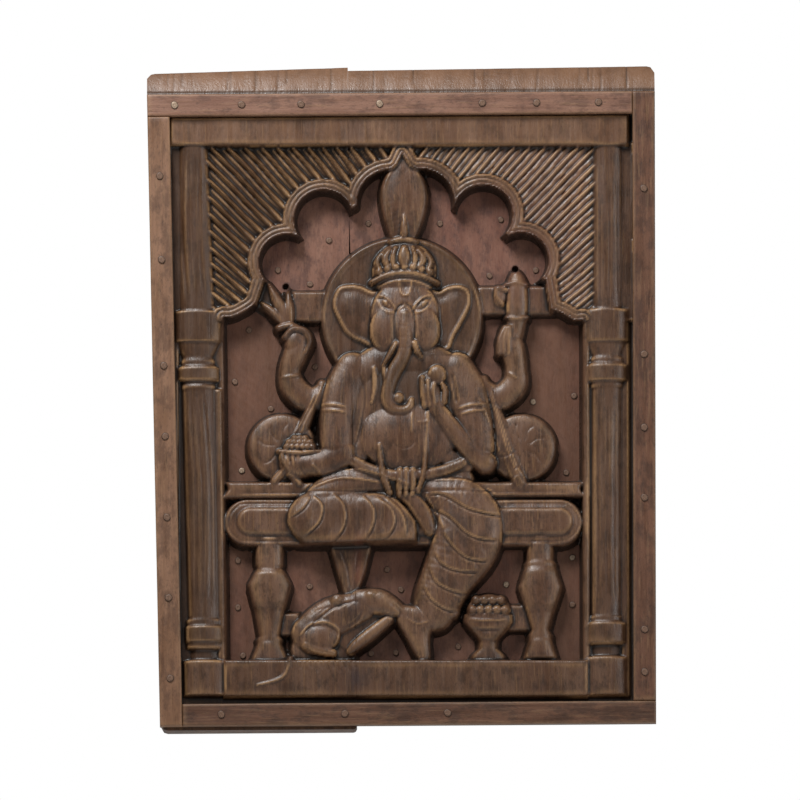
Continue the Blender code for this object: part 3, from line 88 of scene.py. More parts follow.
@dataclass(frozen=True)
class Panel:
    """The panel's outline and thicknesses, and the drawing that is fitted into its field."""

    width: float = 501.0
    height: float = 640.0
    taper_left: float = 10.0
    taper_right: float = 4.5
    band_left: float = 25.0
    band_rise: float = 6.3
    band_step: float = 4.0
    band_right: float = 30.5
    lip_left: float = 3.0
    short_right: float = 3.5
    corner: float = 8.0
    backing: float = 12.0
    bed: float = 22.0
    groove: float = 15.0
    top_edge_height: float = 4.0
    batten_width: float = 22.5
    batten_thick: float = 10.0
    joint_top: float = -53.0
    joint_bottom: float = -48.0
    draft: float = 4.0
    land: float = 1.0
    undercut: float = 2.0
    gap: float = 0.3
    drawn_width: float = 456.0
    drawn_height: float = 588.0
    drawn_middle: float = -13.1
    drawn_turn: float = math.radians(0.4)
    drilled: tuple[tuple[float, float], ...] = ((-117.2, 110.9), (112.2, 128.7))

    @property
    def top(self) -> float:
        """The battens' upper edge."""
        return (self.height + self.band_right + self.lip_left) / 2.0 - self.band_right

    @property
    def bottom(self) -> float:
        """The battens' lower edge."""
        return self.top - self.height

    @property
    def back(self) -> float:
        """The depth of the boards' back in front of the wall."""
        return self.backing + self.gap

    def scales(self) -> tuple[float, float]:
        """How much wider and higher the field is than the drawing.

        Returns:
            The two factors.
        """
        inner = 2.0 * self.batten_width
        return (self.width - inner) / self.drawn_width, (self.height - inner) / self.drawn_height

    def to_panel(self, u: Array, v: Array) -> tuple[Array, Array]:
        """Turn drawing points level and scale them to the field.

        Args:
            u: Places across the drawing.
            v: Places up the drawing.

        Returns:
            The points as (x, z) on the panel.
        """
        across, up = self.scales()
        cos, sin = math.cos(self.drawn_turn), math.sin(self.drawn_turn)
        middle = (self.top + self.bottom) / 2.0
        return (u * cos + v * sin) * across, middle + (v * cos - u * sin - self.drawn_middle) * up

    def to_drawing(self, x: Array, z: Array) -> tuple[Array, Array]:
        """The inverse of to_panel.

        Args:
            x: Places across the panel.
            z: Places up the panel.

        Returns:
            The points as (u, v) in the drawing.
        """
        across, up = self.scales()
        cos, sin = math.cos(self.drawn_turn), math.sin(self.drawn_turn)
        a = x / across
        b = (z - (self.top + self.bottom) / 2.0) / up + self.drawn_middle
        return a * cos - b * sin, b * cos + a * sin

    def sides(self, z: Array) -> tuple[Array, Array]:
        """The left and right edges, which come in a little towards the bottom.

        Args:
            z: Heights on the panel.

        Returns:
            The x of the left and of the right edge.
        """
        share = (self.top - z) / self.height
        shift = (self.taper_right - self.taper_left) / 4.0
        left = -self.width / 2.0 - self.taper_left * (0.5 - share) - shift
        return left, self.width / 2.0 + self.taper_right * (0.5 - share) - shift

    def joint(self, z: Array) -> Array:
        """The x of the line where the two boards meet.

        Args:
            z: Heights on the panel.

        Returns:
            The x at each height.
        """
        return self.joint_top + (self.joint_bottom - self.joint_top) * (self.top - z) / self.height

    def field(self) -> Array:
        """The four corners of the battens' inner edges, counter-clockwise from the lower left."""
        low, high = self.bottom + self.batten_width, self.top - self.batten_width
        (left_low, right_low), (left_high, right_high) = self.sides(low), self.sides(high)
        wide = self.batten_width
        return np.array([(left_low + wide, low), (right_low - wide, low), (right_high - wide, high),
                         (left_high + wide, high)])


PANEL = Panel()


# Small tools on arrays


def curve_through(points: Sequence[Sequence[float]], closed: bool = False, steps: int = 6) -> Array:
    """A Catmull-Rom curve: each span is the cubic whose ends slope along the chord of their neighbours.

    Args:
        points: The points it passes, with any number of columns.
        closed: Whether the last point joins the first.
        steps: The points given for each span.

    Returns:
        The points along the curve.
    """
    rows = np.asarray(points, float)
    spans = len(rows) if closed else len(rows) - 1
    index = np.arange(-1, spans + 2)
    p = rows[index % len(rows) if closed else np.clip(index, 0, len(rows) - 1)]
    a, b, c, d = (p[k : k + spans, None] for k in range(4))
    t = (np.arange(steps) / steps)[None, :, None]
    line = 0.5 * (2 * b + (c - a) * t + (2 * a - 5 * b + 4 * c - d) * t**2 + (3 * b - a - 3 * c + d) * t**3)
    line = line.reshape(-1, rows.shape[1])
    return line if closed else np.concatenate([line, rows[-1:]])


def nearest_on(u: Array, v: Array, path: Array) -> tuple[Array, Array, Array]:
    """The nearest place on an open line of segments.

    Args:
        u: Places across.
        v: Places up.
        path: The line's points, whose first two columns are (u, v).

    Returns:
        The distance, the side (positive on the left of the run), and the place along the line in points.
    """
    away, side, place = np.full(u.shape, 1e3), np.ones(u.shape), np.zeros(u.shape)
    for k, (p, q) in enumerate(zip(path[:, :2], path[1:, :2])):
        share, du, dv = on_segment(u, v, p, q)
        here = np.hypot(du, dv)
        nearer = here < away
        away = np.where(nearer, here, away)
        side = np.where(nearer, np.sign((q[0] - p[0]) * dv - (q[1] - p[1]) * du), side)
        place = np.where(nearer, k + share, place)
    return away, side, place


def outside_polygon(u: Array, v: Array, corners: Array) -> Array:
    """The distance outside a polygon, negative inside: the nearest side's, with the sign by crossings.

    Args:
        u: Places across.
        v: Places up.
        corners: The polygon's corners.

    Returns:
        The signed distances.
    """
    closed = np.concatenate([corners, corners[:1]])
    inside = np.zeros(u.shape, bool)
    for p, q in zip(closed, closed[1:]):
        if p[1] != q[1]:
            crosses = (p[1] > v) != (q[1] > v)
            inside ^= crosses & (u < p[0] + (v - p[1]) * (q[0] - p[0]) / (q[1] - p[1]))
    away = nearest_on(u, v, closed)[0]
    return np.where(inside, -away, away)


def smooth_step(value: Array, low: float, high: float) -> Array:
    """Rise from 0 at low to 1 at high, level at both ends.

    Args:
        value: The values.
        low: Where the rise starts.
        high: Where it ends.

    Returns:
        The shares.
    """
    t = np.clip((value - low) / (high - low), 0.0, 1.0)
    return t * t * (3.0 - 2.0 * t)


def bell(value: Array, middle: float, width: float) -> Array:
    """A bell curve, 1 at its middle.

    Args:
        value: The places.
        middle: The curve's middle.
        width: How far from there it has fallen to 1/e.

    Returns:
        The curve's heights.
    """
    return np.exp(-(((value - middle) / width) ** 2))


def on_segment(u: Array, v: Array, start: Array, end: Array) -> tuple[Array, Array, Array]:
    """The nearest place on a segment.

    Args:
        u: Places across.
        v: Places up.
        start: The segment's first point.
        end: Its last point.

    Returns:
        The share of the way along it, and how far each point lies from there across and up.
    """
    run = end - start
    share = np.clip(((u - start[0]) * run[0] + (v - start[1]) * run[1]) / max(run @ run, 1e-9), 0.0, 1.0)
    return share, u - start[0] - share * run[0], v - start[1] - share * run[1]


def blurred(values: Array, reach: float, pitch: float) -> Array:
    """Soften a grid with a bell curve along each axis in turn.

    Args:
        values: The grid.
        reach: The bell's standard deviation, in millimetres.
        pitch: The grid's spacing.

    Returns:
        The softened grid.
    """
    half = max(1, int(math.ceil(3.0 * reach / pitch)))
    weights = np.exp(-0.5 * (np.arange(-half, half + 1) * pitch / reach) ** 2)
    weights /= weights.sum()
    for axis in (0, 1):
        pad = [(0, 0), (0, 0)]
        pad[axis] = (half, half)
        wide = np.pad(values, pad, mode="edge")
        count = values.shape[axis]
        parts = [weights[k] * np.take(wide, range(k, k + count), axis) for k in range(2 * half + 1)]
        values = np.sum(parts, axis=0)
    return values


def ripple(a: Array, b: Array, seed: int, count: int = 7) -> Array:
    """A smooth uneven surface between about -1 and 1: a sum of sine waves with seeded directions.

    Args:
        a: First coordinate, in wave units.
        b: Second coordinate, in wave units.
        seed: Which set of waves.
        count: How many waves.

    Returns:
        The surface's values.
    """
    draw = np.random.default_rng(seed)
    total = np.zeros(np.broadcast(a, b).shape)
    for _ in range(count):
        turn, size, phase = draw.uniform(0, math.tau), draw.uniform(0.5, 1.6), draw.uniform(0, math.tau)
        total += np.sin(size * (a * math.cos(turn) + b * math.sin(turn)) + phase)
    return total / math.sqrt(2.0 * count)


# Forms of the relief


@dataclass(frozen=True)
class Form:
    """One form of the relief, with the box that it reaches over."""

    low: Array
    high: Array
    measure: Measure


@dataclass(frozen=True)
class Stroke:
    """A fine line that is raised (or cut, with a negative rise) along a path.

    A ledge is steep on the right of its run and dies away slowly on the left, like a fold of cloth.
    """

    points: Sequence[Sequence[float]]
    half: float
    rise: float
    ledge: bool = False
    floor: float = 0.0

    def add_to(self, u: Array, v: Array, height: Array) -> None:
        """Raise or cut the height under the stroke, with a rounded section that fades at the line's ends.

        Args:
            u: Places across the drawing.
            v: Places up the drawing.
            height: The height, changed in place.
        """
        path = curve_through(self.points, steps=5)
        reach = self.half * (3.5 if self.ledge else 1.0) + 1.0
        low, high = path.min(0) - reach, path.max(0) + reach
        near = (u > low[0]) & (u < high[0]) & (v > low[1]) & (v < high[1]) & (height > self.floor)
        away, side, place = nearest_on(u[near], v[near], path)
        ends = smooth_step(np.minimum(place, len(path) - 1 - place), -0.2, 2.0)
        if self.ledge:
            across = away * side
            shape = np.where(across > 0, np.clip(1.0 - across / (3.5 * self.half), 0, 1),
                             np.clip(1.0 + across / (0.5 * self.half), 0, 1))
        else:
            shape = np.clip(1.0 - (away / self.half) ** 2, 0.0, 1.0)
        height[near] += self.rise * shape * ends


def skirted(gap: Array, face: Array, edge: Array | float) -> Array:
    """The face inside an outline, and outside it the sawn wall that falls evenly to the boards' back.

    Args:
        gap: Distances outside the outline.
        face: Heights of the face.
        edge: The height at the outline.

    Returns:
        The heights.
    """
    return np.where(gap > 0.0, edge * (1.0 - gap / PANEL.draft), face)


def rounding(gap: Array, soft: float) -> Array:
    """How far a quarter circle lies under its face: 1 at the outline, 0 from a distance soft inside it.

    Args:
        gap: Distances outside the outline.
        soft: The circle's radius.

    Returns:
        The shares of the radius.
    """
    into = np.clip(1.0 + gap / soft, 0.0, 1.0)
    return 1.0 - np.sqrt(1.0 - into**2)


def spread(points: Array, measure: Measure, reach: float = PANEL.draft) -> Form:
    """A form whose box reaches past some points.

    Args:
        points: The points.
        measure: What the form measures.
        reach: How far the box reaches past them.

    Returns:
        The form.
    """
    return Form(points.min(0) - reach, points.max(0) + reach, measure)


def limb(points: Sequence[Sequence[float]], fall: float) -> Form:
    """A rounded form along a curve: its section is a half oval, fall high, whose crown and width vary.

    Args:
        points: Rows of (u, v, half width, crown height).
        fall: How far the sides lie below the crown.

    Returns:
        The form.
    """
    path = curve_through(points, steps=5)

    def measure(u: Array, v: Array) -> tuple[Array, Array]:
        """The gap outside the form and the height there."""
        best, height = np.full(u.shape, 1e3), np.zeros(u.shape)
        for p, q in zip(path, path[1:]):
            share, du, dv = on_segment(u, v, p[:2], q[:2])
            away = np.hypot(du, dv)
            half = np.maximum(p[2] + (q[2] - p[2]) * share, 0.3)
            crown = p[3] + (q[3] - p[3]) * share
            bulge = np.sqrt(np.clip(1.0 - (away / half) ** 2, 0.0, 1.0))
            here = skirted(away - half, crown - fall * (1.0 - bulge), crown - fall)
            nearer = away - half < best
            best, height = np.where(nearer, away - half, best), np.where(nearer, here, height)
        return best, height

    return spread(path[:, :2], measure, path[:, 2].max() + PANEL.draft)


def dome(u0: float, v0: float, half_u: float, half_v: float, crown: float, fall: float,
         turn: float = 0.0, power: float = 0.5) -> Form:
    """An oval swelling: (1 - share^2)^power, so that a small power gives a flat face and round sides.

    Args:
        u0: Middle across.
        v0: Middle up.
        half_u: Half width along its first axis.
        half_v: Half width along its second axis.
        crown: Height at the middle.
        fall: How far the rim lies below the crown.
        turn: Turn of the first axis, in degrees.
        power: The roundness.

    Returns:
        The form.
    """
    cos, sin = math.cos(math.radians(turn)), math.sin(math.radians(turn))

    def measure(u: Array, v: Array) -> tuple[Array, Array]:
        """The gap outside the form and the height there."""
        along = ((u - u0) * cos + (v - v0) * sin) / half_u
        aside = ((v - v0) * cos - (u - u0) * sin) / half_v
        share = np.maximum(np.hypot(along, aside), 1e-6)
        gap = np.hypot(u - u0, v - v0) * (1.0 - 1.0 / share)
        bulge = np.clip(1.0 - share**2, 0.0, 1.0) ** power
        return gap, skirted(gap, crown - fall * (1.0 - bulge), crown - fall)

    return spread(np.array([(u0, v0)]), measure, max(half_u, half_v) + PANEL.draft)


def slab(corners: Sequence[Sequence[float]], level: float, soft: float = 2.0) -> Form:
    """A flat-faced form whose arris is a quarter circle of width soft.

    Args:
        corners: The outline.
        level: The face's height.
        soft: The arris's width.

    Returns:
        The form.
    """
    outline = np.asarray(corners, float)

    def measure(u: Array, v: Array) -> tuple[Array, Array]:
        """The gap outside the form and the height there."""
        gap = outside_polygon(u, v, outline)
        return gap, skirted(gap, level - soft * rounding(gap, soft), level - soft)

    return spread(outline, measure)


def cushion(corners: Sequence[Sequence[float]], level: float, soft: float, fall: float,
            cuts: Sequence[Sequence[float]] = ()) -> Form:
    """A swollen form: its face falls by a quarter oval towards its outline, and cuts leave a crisp end.

    Args:
        corners: Points that a smooth closed outline passes.
        level: The height in the middle.
        soft: How far in from the outline the face starts to fall.
        fall: How far it falls.
        cuts: Rows of (a, b, c): the form ends where a * u + b * v goes over c.

    Returns:
        The form.
    """
    outline = curve_through(corners, closed=True, steps=4)

    def measure(u: Array, v: Array) -> tuple[Array, Array]:
        """The gap outside and the height, as in skirted."""
        gap = outside_polygon(u, v, outline)
        face = level - fall * rounding(gap, soft)
        for a, b, c in cuts:
            gap = np.maximum(gap, (a * u + b * v - c) / math.hypot(a, b))
        return gap, skirted(gap, face, face)

    return spread(outline, measure)


def box_slab(left: float, right: float, bottom: float, top: float, level: float, soft: float = 2.0) -> Form:
    """A slab with a level rectangle for its outline.

    Args:
        left: Left edge.
        right: Right edge.
        bottom: Lower edge.
        top: Upper edge.
        level: The face's height.
        soft: The arris's width.

    Returns:
        The form.
    """
    return slab([(left, bottom), (right, bottom), (right, top), (left, top)], level, soft)


def stadium(left: float, right: float, bottom: float, top: float, level: float, soft: float) -> Form:
    """A bar with half-round ends.

    Args:
        left: Left end.
        right: Right end.
        bottom: Lower edge.
        top: Upper edge.
        level: The face's height.
        soft: The arris's width.

    Returns:
        The form.
    """
    half, middle = (top - bottom) / 2.0, (top + bottom) / 2.0

    def measure(u: Array, v: Array) -> tuple[Array, Array]:
        """The gap outside the form and the height there."""
        gap = np.hypot(u - np.clip(u, left + half, right - half), v - middle) - half
        return gap, skirted(gap, level - soft * rounding(gap, soft), level - soft)

    return spread(np.array([(left, bottom), (right, top)]), measure)


def turned(foot: tuple[float, float], head: tuple[float, float], rows: Sequence[Sequence[float]],
           fall: float = 9.0) -> Form:
    """Half of a turned post: its width and crown follow rows along a straight axis.

    Args:
        foot: The axis's lower point.
        head: The axis's upper point.
        rows: Rows of (upper edge, lower edge, half width above, half width below, crown).
        fall: How far the sides lie below the crown.

    Returns:
        The form.
    """
    soft = 0.6
    table = np.array(sorted([(top - soft, above, crown) for top, _, above, _, crown in rows]
                            + [(low + soft, below, crown) for _, low, _, below, crown in rows]))
    widest = table[:, 1].max() + PANEL.draft + abs(head[0] - foot[0])

    def measure(u: Array, v: Array) -> tuple[Array, Array]:
        """The gap outside the form and the height there."""
        axis = foot[0] + (head[0] - foot[0]) * (v - foot[1]) / (head[1] - foot[1])
        half = np.interp(v, table[:, 0], table[:, 1])
        crown = np.interp(v, table[:, 0], table[:, 2])
        away = np.abs(u - axis)
        gap = np.maximum(away - half, np.maximum(table[0, 0] - v, v - table[-1, 0]))
        bulge = np.sqrt(np.clip(1.0 - (away / half) ** 2, 0.0, 1.0))
        return gap, skirted(gap, crown - fall * (1.0 - bulge), crown - fall)

    return Form(np.array([min(foot[0], head[0]) - widest, table[0, 0] - PANEL.draft]),
                np.array([max(foot[0], head[0]) + widest, table[-1, 0] + PANEL.draft]), measure)


# The frame of the relief


@dataclass(frozen=True)
class Arch:
    """The cusped arch: its lobes are circles, its edge a moulding of two fillets, its ground a fan."""

    lobes: tuple[tuple[float, float, float], ...] = (
        (-12.0, 194.0, 34.6), (17.0, 194.5, 34.7), (-79.5, 178.0, 30.0), (80.0, 183.0, 30.0),
        (-116.0, 135.0, 28.5), (118.0, 137.0, 28.0))
    throat: tuple[tuple[float, float], ...] = (
        (-140, 117), (-112, 125), (-107.5, 160), (-47, 191.5), (-16, 226), (-7, 232), (-1, 245), (7, 232),
        (18, 227), (51, 192), (105, 162.5), (120, 125), (143, 117))
    shoulder_left: tuple[tuple[float, float], ...] = ((-180, 80), (-170, 80.5), (-155, 88), (-147.5, 94))
    shoulder_right: tuple[tuple[float, float], ...] = ((148, 88), (159, 84), (171, 77), (180, 77.5))
    ground: float = 14.0
    ridge: float = 6.5
    moulding_width: float = 9.0
    moulding_height: float = 22.5
    fillet_depth: float = 2.4
    fan_point: tuple[float, float] = (430.0, -400.0)
    fan_start: float = math.radians(38.28)
    fan_step: float = math.radians(0.8)
    hatch_end: float = 197.0
    fillet_level: float = 18.5

    def outline(self) -> Array:
        """The arched field's edge without its lobes, down to the base."""
        left, right = (curve_through(s, steps=3) for s in (self.shoulder_left, self.shoulder_right))
        return np.concatenate([left, self.throat, right, [(180.0, -266.0), (-176.0, -266.0)]])

    def outside(self, u: Array, v: Array) -> Array:
        """The distance outside the arched field: the least of its body's and its lobes'.

        Args:
            u: Places across.
            v: Places up.

        Returns:
            The distances, negative inside.
        """
        gap = outside_polygon(u, v, self.outline())
        for centre_u, centre_v, radius in self.lobes:
            gap = np.minimum(gap, np.hypot(u - centre_u, v - centre_v) - radius)
        return gap

    def fan(self, u: Array, v: Array) -> Array:
        """The ground's ridges: crests where the angle round the fan's point is a whole number of steps.

        The left half has a second, lower ridge in each deep furrow; the right half has thin ridges between
        flat, rough bands.

        Args:
            u: Places across.
            v: Places up.

        Returns:
            The heights above the furrows.
        """
        angle = np.arctan2(v - self.fan_point[1], self.fan_point[0] + np.abs(u))
        turns = (angle - self.fan_start) / self.fan_step
        turns = turns + 0.05 * ripple(u / 14.0, v / 14.0, 4)
        away = np.abs(turns - np.round(turns))
        wobble = 0.25 * ripple(u / 6.0, v / 6.0, 3)
        swell = 0.2 + 0.14 * (1.0 - smooth_step(self.outside(u, v), self.moulding_width, 40.0))
        crest = np.clip(1.0 - away / swell, 0.0, 1.0) ** 0.7
        second = 0.34 * np.clip(1.0 - np.abs((turns % 1.0) - 0.6) / 0.13, 0.0, 1.0) ** 0.8
        deep = self.ridge * np.maximum(crest, second)
        thin = self.ridge * (0.62 + 0.38 * np.clip(1.0 - away / 0.17, 0.0, 1.0) - 0.3 * np.clip(
            1.0 - np.abs(away - 0.26) / 0.1, 0.0, 1.0))
        rough = 0.5 * ripple(u / 1.7, v / 1.7, 5) * (away > 0.3)
        return np.where(u < 20.0, deep, thin + rough) + wobble

    def forms(self) -> Iterator[Form]:
        """The ground above the arch with its moulding."""

        def measure(u: Array, v: Array) -> tuple[Array, Array]:
            """The gap outside the form and the height there."""
            into = self.outside(u, v)
            gap = np.maximum(-into, np.maximum(77.0 - v, np.maximum(-234.0 - u, u - 230.0)))
            share = into / self.moulding_width
            moulding = self.moulding_height - self.fillet_depth * np.sin(
                math.pi * np.clip(share * 1.05, 0.0, 1.0) * 2.0) ** 2
            end = smooth_step(share, 1.0, 1.3)
            ground = np.minimum(self.ground + self.fan(u, v), self.moulding_height)
            ground = np.where(np.abs(u) < self.hatch_end, ground, self.fillet_level)
            face = moulding + (ground - moulding) * end
            return gap, skirted(gap, face, self.moulding_height)

        yield Form(np.array([-236.0, 74.0]), np.array([232.0, 256.0]), measure)

    def strokes(self) -> Iterator[Stroke]:
        """No strokes: the fan's ridges are part of its form."""
        return iter(())


@dataclass(frozen=True)
class Surround:
    """The floor round the opening, the lintel, the base and the two turned pillars."""

    opening: tuple[tuple[float, float], ...] = (
        (-180.0, 80.0), (-176.0, -266.0), (180.0, -266.0), (180.0, 80.0),
        (186.0, 80.0), (186.0, 250.0), (-195.0, 250.0), (-195.0, 80.0))
    lintel_level: float = 26.0
    base_level: float = 25.0
    fillet_level: float = 18.5

    def floor(self) -> Form:
        """The sunk floor."""
        corners = np.array(self.opening)

        def measure(u: Array, v: Array) -> tuple[Array, Array]:
            """The gap outside the form and the height there."""
            gap = -outside_polygon(u, v, corners)
            return gap, skirted(gap, np.full(u.shape, PANEL.groove), PANEL.groove)

        return Form(np.array([-300.0, -360.0]), np.array([300.0, 360.0]), measure)

    def forms(self) -> Iterator[Form]:
        """Every form of the surround."""
        yield self.floor()
        yield box_slab(-233, 225, 252, 283, self.lintel_level, 1.5)
        yield box_slab(-178, 184, -300, -264, self.base_level, 1.5)
        yield box_slab(-233, -224, -300, 252, self.fillet_level)
        yield slab([(-188, 8), (-181, 8), (-177, -264), (-184, -264)], self.fillet_level)
        yield box_slab(180, 186, -264, 80, self.fillet_level)
        yield box_slab(218, 226, -300, 252, self.fillet_level)
        yield turned((-196.5, -290.0), (-210.0, 248.0), (
            (254, 86, 14.5, 18, 24), (86, 55, 23.5, 23.5, 25), (54, 39, 22, 15.5, 23), (36, 31, 17, 17, 24),
            (29, 16, 20.5, 20.5, 26), (15, 12, 17, 17, 23), (11, 8, 17, 17, 24), (7, -222, 16.5, 15.5, 23.5),
            (-223, -229, 17.5, 17.5, 24), (-230, -245, 18.5, 18.5, 26), (-246, -252, 18, 18, 24),
            (-253, -263, 15.5, 16.5, 20), (-264, -300, 21.5, 21.5, 25)))
        yield turned((203.0, -290.0), (205.0, 248.0), (
            (254, 88, 15, 15, 24), (88, 56, 22, 22, 25), (55, 41, 21, 15.5, 23), (39, 34, 17, 17, 24),
            (32, 16, 20, 20, 26), (15, 10, 17, 17, 24), (9, -219, 15.5, 15.5, 23.5),
            (-219, -225, 16.5, 16.5, 24), (-226, -247, 19, 19, 26), (-248, -259, 16, 16.5, 20),
            (-260, -300, 21, 21, 25)))

    def strokes(self) -> Iterator[Stroke]:
        """Long flutes on the pillars' shafts and the gouge marks on the base under the animal."""
        for foot, head, aways in ((-205.0, -210.5, (-9.0, -3.5, 6.0)), (205.5, 205.5, (-8.0, 1.0, 8.5))):
            for away in aways:
                yield Stroke([(head + away, 244), (head + away * 1.1, 165), (foot + away * 1.15, 92)], 1.6,
                    -0.8)
        for foot, head, aways in ((-197.5, -204.5, (-8.5, -2.0, 5.5)), (203.0, 204.0, (-8.5, 0.5, 7.5))):
            for away in aways:
                yield Stroke([(head + away, 3), (foot + away, -100), (foot + away, -214)], 1.6, -0.8)
        for k in range(11):
            start = -108.0 + 5.5 * k
            yield Stroke([(start, -258 - 1.8 * (k % 3)), (start + 3.0, -266),
                (start + 7.0, -273 - 4.0 * (k % 2))], 1.7, -0.55)


# The figure and what stands round it


@dataclass(frozen=True)
class Head:
    """The head with its ears, crown, finial, trunk and tusks on a round halo."""

    halo_middle: tuple[float, float] = (-1.0, 81.0)
    halo_radius: float = 80.0
    halo_rim: float = 5.0

    def halo(self) -> Form:
        """The flat disc with its raised rim."""
        middle_u, middle_v = self.halo_middle

        def measure(u: Array, v: Array) -> tuple[Array, Array]:
            """The gap outside the form and the height there."""
            gap = np.hypot(u - middle_u, v - middle_v) - self.halo_radius
            into = -gap
            rim = smooth_step(into, 0.0, 1.5) * (1.0 - smooth_step(into, 3.0, self.halo_rim))
            face = 12.5 + 1.2 * rim + 0.3 * bell(into, 7.0, 1.2) + 0.3 * ripple(u / 7.0, v / 9.0, 11)
            return gap, skirted(gap, face, 12.5)

        return spread(np.array([self.halo_middle]), measure, self.halo_radius + PANEL.draft)

    def ear(self, points: Sequence[Sequence[float]], rim_end: float) -> Form:
        """A fan-shaped ear, dished inside a raised rim that dies out where the ear meets the head.

        Args:
            points: Points along its outline.
            rim_end: The place across where the rim ends.

        Returns:
            The form.
        """
        corners = curve_through(points, closed=True, steps=4)

        def measure(u: Array, v: Array) -> tuple[Array, Array]:
            """The gap outside the form and the height there."""
            gap = outside_polygon(u, v, corners)
            rim = np.clip(1.0 + gap / 4.2, 0.0, 1.0)
            side = smooth_step(np.abs(u - rim_end), 2.0, 24.0)
            bowl = smooth_step(-gap, 4.0, 15.0)
            face = 15.2 + 1.5 * np.sin(math.pi * rim) * side + 1.6 * bowl + 0.35 * ripple(u / 5.0, v / 7.0,
                12)
            return gap, skirted(gap, face, 15.2)

        return spread(corners, measure)

    def forms(self) -> Iterator[Form]:
        """Every form of the head."""
        yield self.halo()
        yield self.ear([(-18, 106), (-30, 106), (-44, 112), (-60, 112), (-67, 106), (-70, 93), (-65, 79),
                        (-56, 64), (-42, 56), (-22, 52)], -18.0)
        yield self.ear([(22, 106), (35, 106), (45, 111), (58, 112), (66, 106), (67, 93), (61, 79), (51, 61),
                        (44, 47), (22, 50)], 22.0)
        yield limb([(0, 162, 12, 17), (1, 183, 20, 19), (1, 205, 23, 20), (0, 226, 13, 19),
                    (0, 245, 1, 17)], 3.5)
        yield limb([(1, 164, 3.4, 22.5), (1, 173, 2.6, 22.5), (1, 184, 0.6, 20.5)], 2.5)
        yield limb([(-12, 156, 2.4, 20.0), (0, 158.2, 3.0, 20.8), (13, 156, 2.4, 20.0)], 2.4)
        yield dome(1.5, 126, 32, 30, 24.5, 9, power=0.6)
        yield limb([(-31, 115, 1.8, 24.5), (-16, 121.3, 2.5, 26), (1.5, 123.8, 2.7, 26.8),
                    (18, 121.3, 2.5, 26),
                    (34, 114.3, 1.8, 24.5)], 2.2)
        yield dome(2, 81, 34, 37, 26, 8, power=0.55)
        for side in (-1.0, 1.0):
            yield dome(2 + side * 17.0, 68.5, 17.5, 24, 27.4, 6, turn=side * 6)
            yield dome(2.5 + side * 17, 91.6, 7.2, 3.5, 25.8, 2.4, turn=side * 42)
        yield limb([(-7.4, 52, 2.6, 29), (-11.5, 44, 2.4, 30), (-19, 31.4, 1.0, 30)], 2.6)
        yield limb([(11.4, 52.8, 2.8, 29), (14, 45, 2.6, 30), (18, 38.6, 1.4, 30)], 2.6)
        yield limb([(1.5, 81, 7.5, 28), (1.5, 68, 8.4, 29.5), (2.3, 54, 8, 30), (0, 40, 8, 30),
                    (-8.3, 25, 8, 30),
                    (-14, 8, 7.4, 30), (-15, -4, 7, 30), (-9, -13.5, 6.2, 30), (0, -15, 5.6, 30),
                    (6.5, -11.5, 5, 29.6), (8.5, -5, 3.6, 29)], 7.0)
        yield dome(-4.7, -2.5, 5.4, 5.4, 29.8, 4)
        yield from self.crown()

    def crown(self) -> Iterator[Form]:
        """The crown's leaves and its row of beads."""
        yield limb([(1, 130, 3.4, 27.2), (1, 140, 5.6, 27.2), (1, 149, 2.4, 25.5)], 3.0)
        for side in (-1.0, 1.0):
            yield limb([(1 + side * 10, 128, 1.8, 26.6), (1 + side * 11.5, 139, 2.2, 26.4),
                        (1 + side * 8.5, 149, 1.2, 25)], 2.0)
            yield limb([(1 + side * 15, 129, 2.4, 26), (1 + side * 19, 138, 3.4, 25.4),
                        (1 + side * 14, 147, 1.6, 24)], 2.6)
            yield limb([(1 + side * 24, 127, 2.0, 24.5), (1 + side * 27, 135, 2.2, 23.4),
                        (1 + side * 22, 144, 1.4, 22.6)], 2.2)
        for k in range(7):
            away = (k - 3) * 8.4
            yield dome(1.5 + away, 129.5 - 0.0075 * away**2, 3.5, 3.6, 27.4 - 0.0035 * away**2, 2.4)

    def strokes(self) -> Iterator[Stroke]:
        """The eyes and brows, the forehead mark, the finial's rims and the trunk's creases."""
        for side, middle in ((-1.0, 1.0), (1.0, 2.0)):
            eye = [(middle + side * away, up) for away, up in ((28, 101.5), (19.5, 99.5), (12, 92.5),
                (8, 85.5), (8.5, 84), (15.5, 84), (22.5, 89), (26.2, 97))]
            yield Stroke(eye[:4], 1.5, 1.9)
            yield Stroke([(u - side * 0.4, v - 2.6) for u, v in eye[:4]], 1.0, -1.5)
            yield Stroke(eye[4:], 1.1, 1.0)
            yield Stroke([(u - side * 0.6, v + 1.9) for u, v in eye[5:]], 0.9, -1.2)
            yield Stroke([(middle + side * 17.5, 93.6), (middle + side * 15.4, 91.2),
                          (middle + side * 18, 89.8)], 0.8, -0.9)
            yield Stroke([(1.5 + side * 1.0, 92.5), (1.5 + side * 6.5, 88.5), (1.5 + side * 9.6, 80), (
                1.5 + side * 10.2, 66), (1.5 + side * 9.6, 55)], 1.5, -2.0)
            yield Stroke([(0.5 + side * 12.5, 161), (0.5 + side * 17, 180), (0.5 + side * 20.5, 198),
                (0.5 + side * 18.5, 213), (0.5 + side * 11, 229), (0.5 + side * 1.5, 243)], 1.5, 0.8)
        yield Stroke([(-3.8, 117), (-3.2, 107.3), (-1.1, 102.6), (2.4, 101), (6.4, 103.6), (9.2, 117)],
            1.3, 1.5)
        yield Stroke([(1.5, 114), (2.6, 107.5)], 1.1, -1.0)
        for rise, half, away in ((-1.2, 0.9, 4.4), (0.9, 1.0, 6.6)):
            yield Stroke([(-29, 115 - away), (-14, 120.5 - away), (1.5, 122.6 - away), (17, 120.5 - away),
                          (32, 114.4 - away)], half, rise)
        for place in (71.0, 60.0, 49.0):
